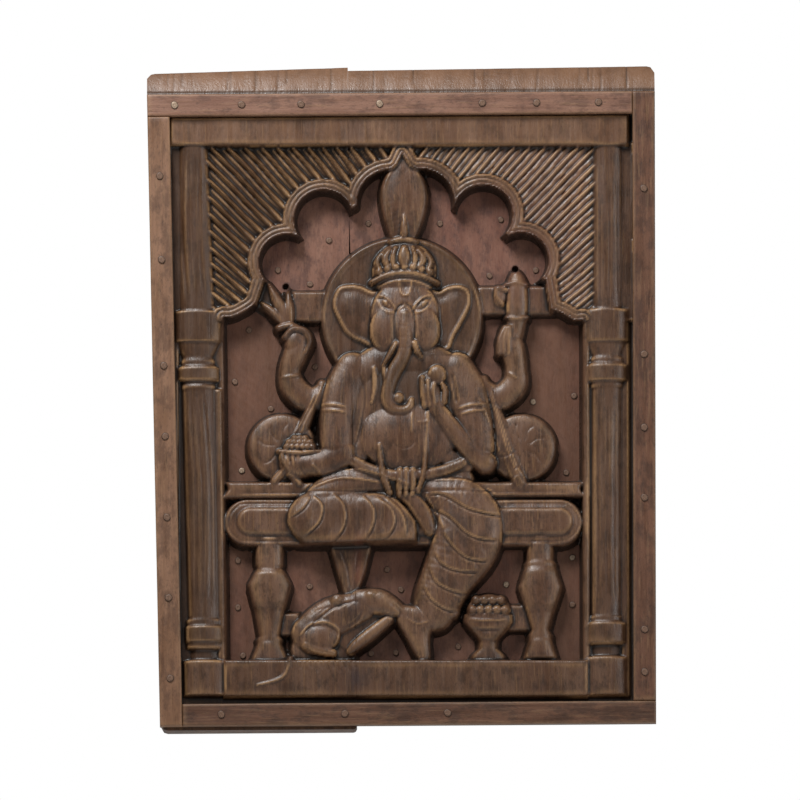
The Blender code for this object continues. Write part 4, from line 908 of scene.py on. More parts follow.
            yield Stroke([(-6.5, place), (1.8, place - 1.6), (9.5, place)], 0.9, -0.35)


@dataclass(frozen=True)
class Torso:
    """Shoulders, belly, sash and the four arms with what their hands hold."""

    sash: float = 26.0

    def forms(self) -> Iterator[Form]:
        """Every form of the torso and the arms."""
        yield limb([(-48, 18, 18, 23), (-20, 34, 20, 24), (2, 36, 20, 25), (26, 34, 20, 24),
                    (56, 18, 18, 23)], 9.0)
        yield dome(2, 2, 55, 42, 25, 7, power=0.6)
        yield dome(5, -40, 48.5, 37, 30, 10, power=0.6)
        yield limb([(-58, -84, 15, 20), (0, -88, 19, 22), (56, -82, 15, 20)], 6.0)
        yield limb([(-64, -58, 4.5, 24), (-58, -60, 5.5, 25), (-40, -70, 5.5, self.sash), (-14, -79, 5.5, 28),
                    (14, -79, 5.5, 28), (38, -75, 5.5, self.sash), (60, -66, 5, 24)], 4.0)
        for place in (-3.0, 3.5, 10.0):
            yield limb([(place, -75, 3.0, 29.8), (place, -88, 3.3, 29.4), (place - 0.5, -99, 2.3, 27.2)], 3.4)
        yield limb([(-24, -50, 1.9, 30.4), (-21, -72, 2.4, 30.6), (-19, -82, 3.2, 30),
            (-13, -97, 2.4, 28)], 2.6)
        yield limb([(25, -17, 1.6, 28.6), (23, -45, 2.0, 30.4), (21, -75, 2.2, 30.6), (15, -95, 2.2, 28)],
            2.4)
        yield limb([(-36, 20, 9, 22), (-42, -12, 9, 22), (-45, -62, 9, 21)], 3.0)
        yield limb([(36, -50, 9, 22), (47, -62, 9, 22), (64, -68, 7, 21)], 3.0)
        yield limb([(-19, 30, 2.4, 26.5), (-17, 12, 2.8, 27), (-20, -6, 2.2, 26)], 2.4)
        yield limb([(-29, 28, 2.2, 25.5), (-28, 10, 2.6, 26), (-31, -6, 2.0, 25)], 2.4)
        yield from self.scarf()
        yield from self.back_arms()
        yield from self.front_arms()

    def scarf(self) -> Iterator[Form]:
        """The cloth that falls from both shoulders behind the arms."""
        yield limb([(80, 18, 4.5, 16), (94, -20, 6.5, 17.5), (106, -58, 7.5, 19), (117, -86, 6.5, 20)], 3.0)
        yield limb([(-81, 14, 4.0, 16), (-93, -14, 5.0, 17), (-104, -40, 5.5, 18)], 3.0)
        yield limb([(-128, -84, 4.0, 19.5), (-117, -74, 4.0, 20), (-104, -86, 4.0, 20)], 2.5)

    def back_arms(self) -> Iterator[Form]:
        """The two raised arms, the leaves on the left and the slender vessel on the right."""
        yield limb([(-70, 8, 12, 17), (-92, -2, 12.5, 18), (-109, 10, 12.5, 19), (-113, 27, 10.5, 19),
                    (-107, 45, 11.5, 20), (-101, 59, 8, 19)], 7.0)
        yield dome(-108, 56, 9, 12, 20.5, 5, turn=-25)
        yield limb([(-118, 60, 2.6, 21), (-110, 68, 2.8, 21.8), (-98, 66, 3, 21.6), (-93, 56, 2.6, 21),
                    (-97, 44, 2.2, 20.4)], 3.0)
        yield limb([(74, 10, 12, 17), (94, 0, 12.5, 18), (111, 12, 12.5, 19), (113, 30, 10.5, 19),
                    (109, 50, 12, 20), (105, 66, 8, 19)], 7.0)
        for away in range(3):
            yield limb([(96 + 5.0 * away, 44, 2.4, 21), (97 + 4.4 * away, 58, 2.6, 22),
                (102 + 2.5 * away, 70, 2, 21)], 2.6)
        for tip_u, tip_v, half in ((-142, 96, 4.5), (-134, 114, 5.5), (-115, 108, 4.5)):
            yield limb([(-112, 68, 2.5, 15), ((tip_u - 112) / 2, (tip_v + 70) / 2, half, 17.4),
                        (tip_u, tip_v, 1, 14)], 4.0)
        yield limb([(-124, 70, 3.0, 18), (-112, 72, 3.0, 18.6), (-102, 68, 2.6, 18)], 2.6)
        yield limb([(112, 64, 8.0, 18), (114, 88, 10.5, 18.5), (114, 112, 9.5, 18), (113, 123, 5, 16)], 6.0)
        yield limb([(104, 80, 1.6, 18.8), (114, 78.5, 1.8, 19.6), (124, 80, 1.6, 18.8)], 1.6)
        yield limb([(103, 113, 1.6, 17.6), (113, 115, 1.8, 18.8), (123, 113, 1.6, 17.6)], 1.6)
        yield dome(97, 101.5, 6.5, 10, 15.5, 4)
        yield limb([(103, 108, 2.2, 17), (95, 110, 2.2, 17.2), (94, 102, 2.2, 17), (99, 94, 2, 16.6)], 2.4)

    def front_arms(self) -> Iterator[Form]:
        """The two lower arms: the left hand carries a heaped bowl, the right is raised."""
        yield limb([(-50, 28, 17, 24), (-60, 5, 18.5, 26), (-66, -25, 17, 27), (-66, -50, 16, 28)], 9.0)
        yield limb([(-62, -57, 15, 28), (-82, -67, 12.5, 28), (-103, -68, 11, 27)], 8.0)
        yield dome(-103, -66, 20.5, 15.5, 25, 6, power=0.45)
        yield limb([(-124, -55, 1.6, 26), (-103, -57, 2.2, 28), (-83, -55, 1.6, 26)], 2.5)
        yield dome(-103, -50, 15.5, 9.5, 25, 5)
        for row, (place_v, count) in enumerate(((-51.0, 6), (-46.2, 5), (-42.0, 3))):
            for k in range(count):
                yield dome(-103 + (k - (count - 1) / 2.0) * 5.2, place_v, 2.8, 2.8, 27.4 - 0.6 * row, 2.6)
        for k in range(4):
            yield limb([(-121 + 5.4 * k, -58.5, 2.2, 26), (-119 + 5.0 * k, -66 - 1.2 * k, 2.5, 27),
                        (-112 + 3.6 * k, -75 - 1.0 * k, 1.8, 25)], 2.4)
        yield limb([(54, 28, 17, 24), (64, 5, 19, 26), (71, -25, 18, 27), (76, -50, 15, 28)], 9.0)
        yield limb([(82, -66, 11, 28), (64, -50, 10, 29), (46, -29, 8.8, 30), (33, -12, 8.5, 30)], 7.0)
        yield limb([(33, -12, 8.5, 29), (28, 5, 9.5, 28.5), (26, 16, 8.5, 27)], 5.0)
        yield dome(34, 21, 9, 9.5, 29.6, 4)
        for k in range(3):
            yield limb([(22 + 5 * k, -10, 2.6, 30), (20 + 5 * k, 4, 2.8, 30.4),
                (19 + 6 * k, 18 - 3 * k, 2.2, 29.6)], 3.0)
        yield limb([(41, -6, 2.6, 29.4), (42, 5, 2.6, 29.6), (39, 12, 2.0, 29)], 2.6)

    def strokes(self) -> Iterator[Stroke]:
        """Armbands, wristbands, the belly's lines, the scarf's edges and the hair-thin carving marks."""
        for points in (
                [(-83, -8.3), (-70, -8.8), (-56, -11.5)], [(-84, -14), (-70, -14.6), (-57, -16.6)],
                [(54, -13), (70, -9), (84, -8.3)], [(56.5, -18.7), (70, -15.4), (85, -14.2)],
                [(-124, 19), (-112, 20.6), (-99, 22.5)], [(97, 26), (105, 24), (115, 18)],
                [(9.5, -11), (8, -41)], [(-91, -68), (-86, -74), (-82, -78)]):
            yield Stroke(points, 1.5, 1.5)
        yield Stroke([(-10, -45), (-6, -51), (1, -52.6), (8, -51), (12, -45)], 1.3, -0.9)
        yield Stroke([(14, -26), (20, -27), (27, -25)], 1.2, 0.7)
        for points in (
                [(79, 22), (92, -14), (107, -60), (118, -84)], [(86, 10), (99, -28), (112, -66), (119, -78)],
                [(74, 2), (90, -34), (98, -60)], [(-79, 16), (-90, -10), (-103, -38)],
                [(-86, 6), (-97, -16), (-110, -40)], [(-130, -88), (-118, -72), (-113, -78)],
                [(-124, -90), (-114, -78), (-100, -90)], [(108, -88), (114, -80), (120, -88)]):
            yield Stroke(points, 1.4, 1.2)
        yield Stroke([(-43, 22), (-38, 0), (-42, -30), (-48, -52)], 1.6, -1.2)
        yield Stroke([(48, 24), (52, 6), (54, -8)], 1.8, -1.4)
        for side, middle in ((-1.0, -121.0), (1.0, 119.0)):
            for turn in (20.0, 62.0, 104.0, 200.0, 250.0, 320.0):
                angle = math.radians(turn)
                du, dv = side * math.cos(angle), math.sin(angle)
                yield Stroke([(middle + 6 * du, -50 + 6 * dv),
                              (middle + 17 * du - 3 * dv, -50 + 17 * dv + 3 * du),
                              (middle + 25 * du, -50 + 25 * dv)], 1.3, -0.9, floor=9.0)


@dataclass(frozen=True)
class Seat:
    """The bench with its turned legs, and the two bolsters on it."""

    rail_level: float = 18.0
    panel_level: float = 16.5
    raised_level: float = 20.0

    def forms(self) -> Iterator[Form]:
        """Every form of the seat."""
        yield dome(-121, -50, 33.5, 33.5, 17.5, 5, power=0.35)
        yield dome(119, -50, 33.5, 33.5, 17.5, 5, power=0.35)
        yield slab([(-180, -101), (180, -99), (177, -92), (179, -85), (-176, -85), (-174, -92)],
                   self.rail_level, 3.0)
        yield stadium(-178.0, 179.0, -148.0, -102.0, self.panel_level, 3.0)
        yield stadium(-166.0, 170.0, -138.5, -110.0, self.raised_level, 5.0)
        yield turned((-133, -265), (-133, -140), (
            (-140, -168, 13.5, 13.5, 18), (-170, -172, 12, 13, 18), (-176, -187, 16, 21, 21),
            (-188, -205, 21, 17, 21), (-212, -239, 14.5, 10, 19), (-241, -244, 12.5, 12.5, 19),
            (-246, -265, 12, 19, 20)), 8.0)
        yield turned((137, -265), (137, -140), (
            (-138, -163, 13, 13, 18), (-165, -169, 15, 15, 19), (-174, -190, 17, 21.5, 21),
            (-192, -208, 21, 16, 21), (-214, -233, 13.5, 9, 19), (-237, -241, 11.5, 11.5, 19),
            (-243, -262, 11.5, 17, 20)), 8.0)

    def strokes(self) -> Iterator[Stroke]:
        """The groove between the panel and its raised middle, and the rail's lower arris."""
        yield Stroke([(-170, -96), (-60, -95.5), (60, -95), (172, -94.5)], 1.4, -1.0)
        for side, end in ((-1.0, -178.0), (1.0, 179.0)):
            middle = end - side * 23.0
            arc = [(middle + side * 19.0 * math.cos(a),
                    -125.0 + 18.8 * math.sin(a)) for a in np.linspace(-1.5, 1.5, 7)]
            yield Stroke([(middle - side * 60, -143.8), *arc, (middle - side * 60, -106.2)], 1.5, -1.1,
                floor=14.0)


@dataclass(frozen=True)
class Legs:
    """The folded leg, the hanging leg in its wrapped cloth, and the cloth that hangs below."""

    fold_half: float = 2.8
    fold_rise: float = 1.7
    knee: tuple[tuple[float, float], ...] = ((-115.5, -124), (-111.5, -109.5), (-100, -98.7), (-80, -95.2),
        (-52, -95.8), (-27, -97), (-10, -101), (2, -111), (14, -127), (24, -145), (14, -160), (-40, -160),
        (-75, -157), (-93, -151), (-104, -143), (-112, -134))
    folded: tuple[tuple[tuple[float, float], ...], ...] = (((-114, -123), (-100, -114), (-91.5, -100)),
        ((-101, -143), (-84, -128), (-80.6, -110), (-91, -98.5)), ((-74, -152), (-59, -132), (-59, -110),
        (-71, -96.5)), ((-42, -151), (-31, -133), (-29, -114), (-41, -98.5)),
        ((-19, -146), (-9, -131), (-11, -114), (-28, -99.5)), ((3, -142), (2, -126), (-5, -112),
        (-18, -101)))
    hanging: tuple[tuple[tuple[float, float], ...], ...] = (
        ((25.7, -97.6), (41, -98.7), (62.5, -111.7), (80, -117), (99, -119.3)),
        ((25.7, -109.5), (45, -120.4), (60.4, -135.5), (75.6, -143), (95, -144.2)),
        ((38.7, -135.5), (47.4, -148.5), (62.5, -161.6), (77.7, -164.8), (84, -163.7)),
        ((30, -154), (36.5, -166), (49.5, -173.5), (67, -175.7), (75, -174.6)),
        ((24.5, -169), (32.2, -185.4), (47.4, -194), (60.4, -196.3), (66.5, -193)),
        ((19, -188), (27.8, -202.8), (43, -212.5), (55.5, -213.6)))

    def forms(self) -> Iterator[Form]:
        """Every form of the legs."""
        yield slab([(-73, -148), (-31, -148), (-38, -176), (-47, -200), (-58, -200)], 13.0, 3.0)
        yield limb([(-6, -84, 13, 23), (-40, -85, 16, 25), (-70, -97, 20, 27), (-86, -112, 18, 28)], 9.0)
        yield cushion(self.knee, 30.0, 22.0, 9.0, ((0.03, -1.0, 145.0), (-0.32, -1.0, 183.0),
            (1.0, 0.0, 12.5)))
        yield limb([(0, -98, 7, 24), (10, -104, 8, 25.5), (20, -118, 8.5, 26), (27, -133, 6.5, 24)], 5.0)
        yield limb([(24, -92, 14, 24), (52, -102, 22, 28), (66, -122, 31, 30), (63, -147, 33, 30),
                    (47, -176, 27, 27), (36, -199, 24, 24), (31, -214, 20, 22)], 10.0)
        yield limb([(30, -217, 8, 20), (47, -213, 9.5, 20)], 5.0)
        yield cushion([(-2, -208), (-6.5, -222), (3, -240), (13, -259), (20, -266), (27, -260),
                       (26.5, -240), (30, -216)],
                      21.0, 9.0, 5.0)

    def strokes(self) -> Iterator[Stroke]:
        """The drapery: each fold is a ledge that drops at its lower or right side into a thin dark line."""
        for points in self.folded:
            yield Stroke(points, self.fold_half, self.fold_rise, ledge=True, floor=19.0)
            yield Stroke([(u + 1.5, v) for u, v in points], 1.1, -1.3, floor=19.0)
        for points in self.hanging:
            yield Stroke(points, self.fold_half * 1.3, 1.1, ledge=True, floor=16.0)
            yield Stroke([(u, v - 1.5) for u, v in points], 1.15, -1.8, floor=16.0)
        for points in ([(-101, -94), (-80, -79), (-50, -73), (-20, -80), (8, -90)],
                [(-92, -92), (-60, -82), (-14, -88)], [(24, -84), (60, -84), (88, -94), (98, -108)],
                [(23, -98), (27, -106), (36, -122), (41, -134)]):
            yield Stroke(points, 1.5, 1.3, floor=17.0)
        yield Stroke([(-62, -152), (-55, -172), (-52, -194)], 1.8, -1.2)
        yield Stroke([(-45, -152), (-47, -176)], 1.8, -1.0)
        for k in range(4):
            yield Stroke([(10 + 4.0 * k, -246 + k), (13 + 3.4 * k, -254), (17 + 2.6 * k, -262)], 0.8, -0.8)
        yield Stroke([(2, -220), (14, -227), (27, -224)], 1.2, 0.8)


@dataclass(frozen=True)
class Ground:
    """The small animal, the footed bowl of sweets and the plain bridges between the forms."""

    sweets: int = 4

    def forms(self) -> Iterator[Form]:
        """Every form near the ground, and the bridges."""
        yield limb([(-92, -252, 19, 15), (-60, -256, 13, 14)], 3.0)
        yield limb([(-92, -236, 19, 20), (-70, -220, 20, 22), (-42, -210, 15, 22)], 8.0)
        yield dome(-83, -241, 21, 16, 23, 7, turn=20)
        yield limb([(-42, -204, 12, 22), (-24, -205, 12.5, 24), (-8, -212, 8.5, 23), (-1, -216, 4.5, 21)],
            7.0)
        yield dome(-31, -199, 6.5, 5.5, 24.5, 3)
        yield dome(-66, -203, 6, 5, 24, 3, turn=25)
        yield limb([(-14, -222, 5, 20), (-31, -236, 6, 21), (-46, -248, 5.5, 21), (-52, -254, 4, 20)], 4.0)
        yield limb([(-96, -248, 4.5, 22), (-84, -253, 4.5, 22.5), (-70, -256, 4, 21)], 3.4)
        yield limb([(-112, -262, 2, 26), (-120, -281, 1.8, 26.8), (-145, -289, 1.2, 26.2)], 1.9)
        yield turned((85, -262), (85, -216), (
            (-216, -222, 23.5, 24, 21), (-224, -231, 24, 20, 21), (-234, -241, 17, 11, 19),
            (-243, -251, 9.5, 9.5, 17), (-254, -258, 14, 16, 17), (-258, -264, 16.5, 16.5, 17)), 8.0)
        yield dome(85, -212, 21, 15, 18, 4)
        for row, place_v in enumerate((-203.0, -213.0)):
            for k in range(self.sweets + row):
                yield dome(85 - 12 - 4 * row + 8.2 * k, place_v, 4.4, 4.6, 22 + row, 4.4)
        yield slab([(-72, -240), (-56, -254), (-14, -222), (-30, -208)], 15.0)
        yield box_slab(-110, -78, 77, 107, 11.0)
        yield box_slab(76, 150, 84, 112, 11.0)
        yield slab([(-152, 96), (-133, 84), (-125, 105), (-142, 122)], 9.0)
        yield box_slab(-122, -104, -237, -215, 10.0)
        yield box_slab(100, 128, -232, -207, 10.0)

    def strokes(self) -> Iterator[Stroke]:
        """The animal's face, haunch and coat, and the bowl's rims."""
        for points, half, rise in (
                ([(-104, -240), (-92, -228), (-76, -226), (-64, -234), (-66, -248)], 1.8, 1.5),
                ([(-99, -236), (-88, -226), (-70, -212), (-48, -204)], 1.6, -1.0),
                ([(-34, -197), (-30, -195), (-27, -198), (-31, -201)], 1.2, -1.2),
                ([(-13, -207), (-4, -213), (-2, -219)], 1.4, -1.3),
                ([(-20, -216), (-12, -220), (-3, -221)], 1.4, -1.1),
                ([(-72, -206), (-66, -200), (-60, -204)], 1.3, -1.2),
                ([(-40, -214), (-46, -224), (-56, -230)], 1.6, -1.1),
                ([(64, -222.5), (85, -224), (106, -222.5)], 1.5, 1.2),
                ([(71, -232), (85, -233.5), (99, -232)], 1.4, -1.2)):
            yield Stroke(points, half, rise)
        for k in range(6):
            start = -102.0 + 9.0 * k
            yield Stroke([(start, -222 + 2.2 * k), (start + 7, -216 + 2.2 * k), (start + 14, -213 + 1.6 * k)],
                         1.1, -0.6, floor=16.0)


# The carved height as grids


@dataclass
class Relief:
    """The carved face on a fine grid: the height, the gap outside the wood and how worn each place is."""

    pitch: float = 0.7
    soft: float = 0.5
    margin: float = 14.0
    drill_radius: float = 3.2
    xs: Array = field(init=False)
    zs: Array = field(init=False)
    grids: dict[str, Array] = field(init=False)

    def __post_init__(self) -> None:
        """Sample every form and stroke once."""
        half_x = PANEL.width / 2.0 + self.margin
        self.xs = np.arange(-half_x, half_x, self.pitch)
        self.zs = np.arange(PANEL.bottom - self.margin, PANEL.top + 2.5 * self.margin, self.pitch)
        x, z = np.meshgrid(self.xs, self.zs, indexing="ij")
        gap, height = self.carving(*PANEL.to_drawing(x, z))
        beyond = outside_polygon(x, z, PANEL.field())
        under = beyond > PANEL.undercut
        height = np.where(under, self.bed(z), height)
        gap = np.where(under, -PANEL.draft, gap)
        height = np.where((beyond > -0.5) & ~under, np.minimum(height, PANEL.bed), height)
        height = np.maximum(height, 0.0)
        height = blurred(height, self.soft, self.pitch)
        carved = np.where(under, PANEL.bed, height)
        # hollow and crease say how far a place lies below its surroundings; the boards are darkened there
        # with grime and painted shade.
        near, wide = blurred(carved, 1.4, self.pitch), blurred(carved, 6.0, self.pitch)
        middle = blurred(carved, 2.6, self.pitch)
        self.grids = {"height": height, "gap": gap, "beyond": beyond, "worn": carved - near,
                      "hollow": wide - carved, "crease": middle - carved}

    def carving(self, u: Array, v: Array) -> tuple[Array, Array]:
        """The least gap and the greatest height of all forms, with the strokes on them.

        Args:
            u: Places across the drawing.
            v: Places up the drawing.

        Returns:
            The gap outside the wood and the height above the boards' back.
        """
        gap, height = np.full(u.shape, 1e3), np.zeros(u.shape)
        parts = (Surround(), Arch(), Ground(), Seat(), Head(), Torso(), Legs())
        for part in parts:
            for form in part.forms():
                near = (u > form.low[0]) & (u < form.high[0]) & (v > form.low[1]) & (v < form.high[1])
                form_gap, form_height = form.measure(u[near], v[near])
                gap[near] = np.minimum(gap[near], form_gap)
                height[near] = np.maximum(height[near], form_height)
        for part in parts:
            for stroke in part.strokes():
                stroke.add_to(u, v, height)
        for hole_u, hole_v in PANEL.drilled:
            gap = np.maximum(gap, PANEL.draft + 4.0 * (self.drill_radius - np.hypot(u - hole_u, v - hole_v)))
        marks = 0.22 * ripple(u / 2.4, v / 9.0, 21) + 0.28 * ripple(u / 9.0, v / 14.0, 22)
        return gap, np.where(gap < 0.0, height + marks, height)

    def bed(self, z: Array) -> Array:
        """The height under and beyond the battens: level, then falling over the top band in a worn curve.

        Args:
            z: Heights on the panel.

        Returns:
            The heights above the boards' back.
        """
        share = np.clip((z - PANEL.top) / PANEL.band_right, 0.0, 1.2)
        band = PANEL.bed - (PANEL.bed - PANEL.top_edge_height) * (0.72 * share + 0.28 * share**4)
        band -= 1.3 * bell(z, PANEL.top + 2.6, 1.8)
        return np.where(z > PANEL.top, np.maximum(band, PANEL.top_edge_height), PANEL.bed)

    def checks(self, x: Array, z: Array) -> Array:
        """Thin upright checks in the band's end grain: bell curves at seeded places, each with its own depth.

        Args:
            x: Places across the panel.
            z: Places up the panel.

        Returns:
            How deep each point lies in a check, from 0 to 1.
        """
        draw = np.random.default_rng(71)
        over, total = z - PANEL.top, np.zeros(x.shape)
        for _ in range(46):
            place, deep = draw.uniform(-250, 250), draw.uniform(0.15, 1.0) ** 1.5
            width = draw.uniform(0.5, 1.1)
            lean, low = draw.uniform(-0.06, 0.06), draw.uniform(0.0, 12.0)
            total += deep * bell(x - lean * over, place, width) * smooth_step(over, low, low + 4.0)
        return np.clip(total, 0.0, 1.0)

    def at(self, name: str, x: Array, z: Array) -> Array:
        """Read a grid between its samples, in proportion to the distance on each axis.

        Args:
            name: Which grid.
            x: Places across the panel.
            z: Places up the panel.

        Returns:
            The values.
        """
        grid = self.grids[name]
        a = np.clip((x - self.xs[0]) / self.pitch, 0, len(self.xs) - 1.001)
        b = np.clip((z - self.zs[0]) / self.pitch, 0, len(self.zs) - 1.001)
        i, j = a.astype(int), b.astype(int)
        s, t = a - i, b - j
        return ((1 - s) * ((1 - t) * grid[i, j] + t * grid[i, j + 1])
                + s * ((1 - t) * grid[i + 1, j] + t * grid[i + 1, j + 1]))


# Meshes


def new_piece(name: str, points: Array, faces: Array, loose: Sequence[Sequence[int]] = (),
              smooth: bool = True) -> bpy.types.Object:
    """A mesh object from points in millimetres, with its place in its mesh.

    Args:
        name: The piece's name.
        points: The points, one row each.
        faces: Triangles or quads, one row each.
        loose: Further faces of any size.
        smooth: Whether the faces are shaded smooth.

    Returns:
        The object.
    """
    mesh = bpy.data.meshes.new(name)
    mesh.from_pydata((np.asarray(points, float) * MM).tolist(), [], np.asarray(faces).tolist() + list(loose))
    mesh.update()
    mesh.polygons.foreach_set("use_smooth", np.full(len(mesh.polygons), smooth))
    made = bpy.data.objects.new(name, mesh)
    bpy.context.scene.collection.objects.link(made)
    return made


def dressed(piece: bpy.types.Object, finish: bpy.types.Material, slot: Slot, *nodes: str) -> bpy.types.Object:
    """Give a piece its finish, its body and the nodes that it stands for.

    Args:
        piece: The piece.
        finish: Its material.
        slot: Its slot; not used.
        nodes: The nodes that it replaces.

    Returns:
        The piece.
    """
    piece.data.materials.append(finish)
    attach(piece, ROOT)
    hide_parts(*nodes)
    LOG.info("%s: %d faces", piece.name, len(piece.data.polygons))
    return piece


def flat_behind(piece: bpy.types.Object, points: Array, faces: Array, back: float) -> None:
    """Shade a piece's plain back flat, so that its long triangles show no streaks.

    Args:
        piece: The piece.
        points: Its points in millimetres.
        faces: Its triangles.
        back: The back's depth in front of the wall.
    """
    behind = (points[:, 1] > -(back + 0.01))[faces].all(axis=1)
    piece.data.polygons.foreach_set("use_smooth", ~behind)


def without_slits(piece: bpy.types.Object) -> None:
    """Fill the few slits in a back, left where the outline of a board crosses itself.

    Args:
        piece: The piece.
    """
    made = bmesh.new()
    made.from_mesh(piece.data)
    for fill in (bmesh.ops.holes_fill, bmesh.ops.edgeloop_fill):
        fill(made, edges=[edge for edge in made.edges if edge.is_boundary])
    made.to_mesh(piece.data)
    made.free()


def add_value(piece: bpy.types.Object, name: str, values: Array) -> None:
    """Store one number for each point of a mesh.

    Args:
        piece: The piece.
        name: The attribute's name.
        values: The numbers.
    """
    made = piece.data.attributes.new(name, "FLOAT", "POINT")
    made.data.foreach_set("value", np.asarray(values, np.float32))


def edge_of(faces: Array) -> Array:
    """The directed edges that only one triangle has.

    Args:
        faces: Triangles.

    Returns:
        The edges, one row each.
    """
    sides = np.concatenate([faces[:, [0, 1]], faces[:, [1, 2]], faces[:, [2, 0]]]).astype(np.int64)
    size = int(faces.max()) + 1
    key, back = sides[:, 0] * size + sides[:, 1], sides[:, 1] * size + sides[:, 0]
    return sides[~np.isin(key, back)]


def inside_ring(faces: Array, ring: Array) -> Array:
    """Whether each triangle lies inside a ring of edges that runs counter-clockwise.

    A triangle with one of the ring's edges lies inside if it runs along it in the ring's own direction. The
    answer then spreads from triangle to triangle across every edge that isn't the ring's.

    Args:
        faces: Counter-clockwise triangles.
        ring: The ring's directed edges.

    Returns:
        True where a triangle lies inside.
    """
    size = int(faces.max()) + 1
    after = np.roll(faces, -1, axis=1)
    key, turned, own = faces * size + after, after * size + faces, ring[:, 0] * size + ring[:, 1]
    inner, outer = np.isin(key, own), np.isin(turned, own)
    order = np.argsort(key, axis=None)
    place = np.minimum(np.searchsorted(key.ravel()[order], turned), key.size - 1)
    met = (key.ravel()[order][place] == turned) & ~inner & ~outer
    beside = np.where(met, order[place] // 3, -1)
    state = inner.any(axis=1).astype(int) - outer.any(axis=1)
    while True:
        spread = np.where(beside >= 0, state[beside], 0).sum(axis=1)
        fresh = np.where(state == 0, np.sign(spread), state)
        if (fresh == state).all():
            return state > 0
        state = fresh


def grid_triangles(kept: Array) -> Array:
    """Triangles over a grid of points, where all three corners are kept.

    A cell with one corner left out gives the one triangle on the other three.

    Args:
        kept: Which points are kept, as a grid.

    Returns:
        The triangles, as numbers of points counted row by row.
    """
    count = np.arange(kept.size).reshape(kept.shape)
    a, b, c, d = count[:-1, :-1], count[1:, :-1], count[1:, 1:], count[:-1, 1:]
    ka, kb, kc, kd = kept[:-1, :-1], kept[1:, :-1], kept[1:, 1:], kept[:-1, 1:]
    first = ka & kc
    rows = [(a, b, c, first & kb), (a, c, d, first & kd),
            (a, b, d, ~first & ka & kb & kd), (b, c, d, ~first & kb & kc & kd)]
    return np.concatenate([np.stack([p[mask], q[mask], r[mask]], axis=1) for p, q, r, mask in rows])


def closed_back(points: Array, faces: Array, back: float) -> tuple[Array, Array]:
    """Close a carved front with straight sides and a flat back that has few triangles.

    Args:
        points: The front's points as (x, depth, z).
        faces: The front's triangles.
        back: The back's depth in front of the wall.

    Returns:
        All points and triangles.
    """
    edge = edge_of(faces)
    corners = np.unique(edge)
    number = np.zeros(len(points), int)
    number[corners] = np.arange(len(corners))
    ring = number[edge]
    flat = points[corners][:, [0, 2]]
    found = delaunay_2d_cdt([Vector(p) for p in flat.tolist()], ring.tolist(), [], 0, 1e-5)
    first = np.array([rows[0] if rows else -1 for rows in found[3]])
    tris = first[np.array(found[2])]
    tris = tris[(tris >= 0).all(axis=1)]
    tris = tris[inside_ring(tris, ring)] + len(points)
    behind = np.stack([flat[:, 0], np.full(len(flat), -back), flat[:, 1]], axis=1)
    low, high = ring[:, 0] + len(points), ring[:, 1] + len(points)
    sides = np.concatenate([np.stack([edge[:, 1], edge[:, 0], low], axis=1),
                            np.stack([edge[:, 1], low, high], axis=1)])
    return np.concatenate([points, behind]), np.concatenate([faces, tris[:, ::-1], sides])


def without_unused(points: Array, faces: Array) -> tuple[Array, Array, Array]:
    """Leave out the points that no face uses.

    Args:
        points: The points.
        faces: The faces.

    Returns:
        The points that are left, the renumbered faces and the numbers of the points that are left.
    """
    used = np.unique(faces)
    number = np.zeros(len(points), int)
    number[used] = np.arange(len(used))
    return points[used], number[faces], used


# The boards


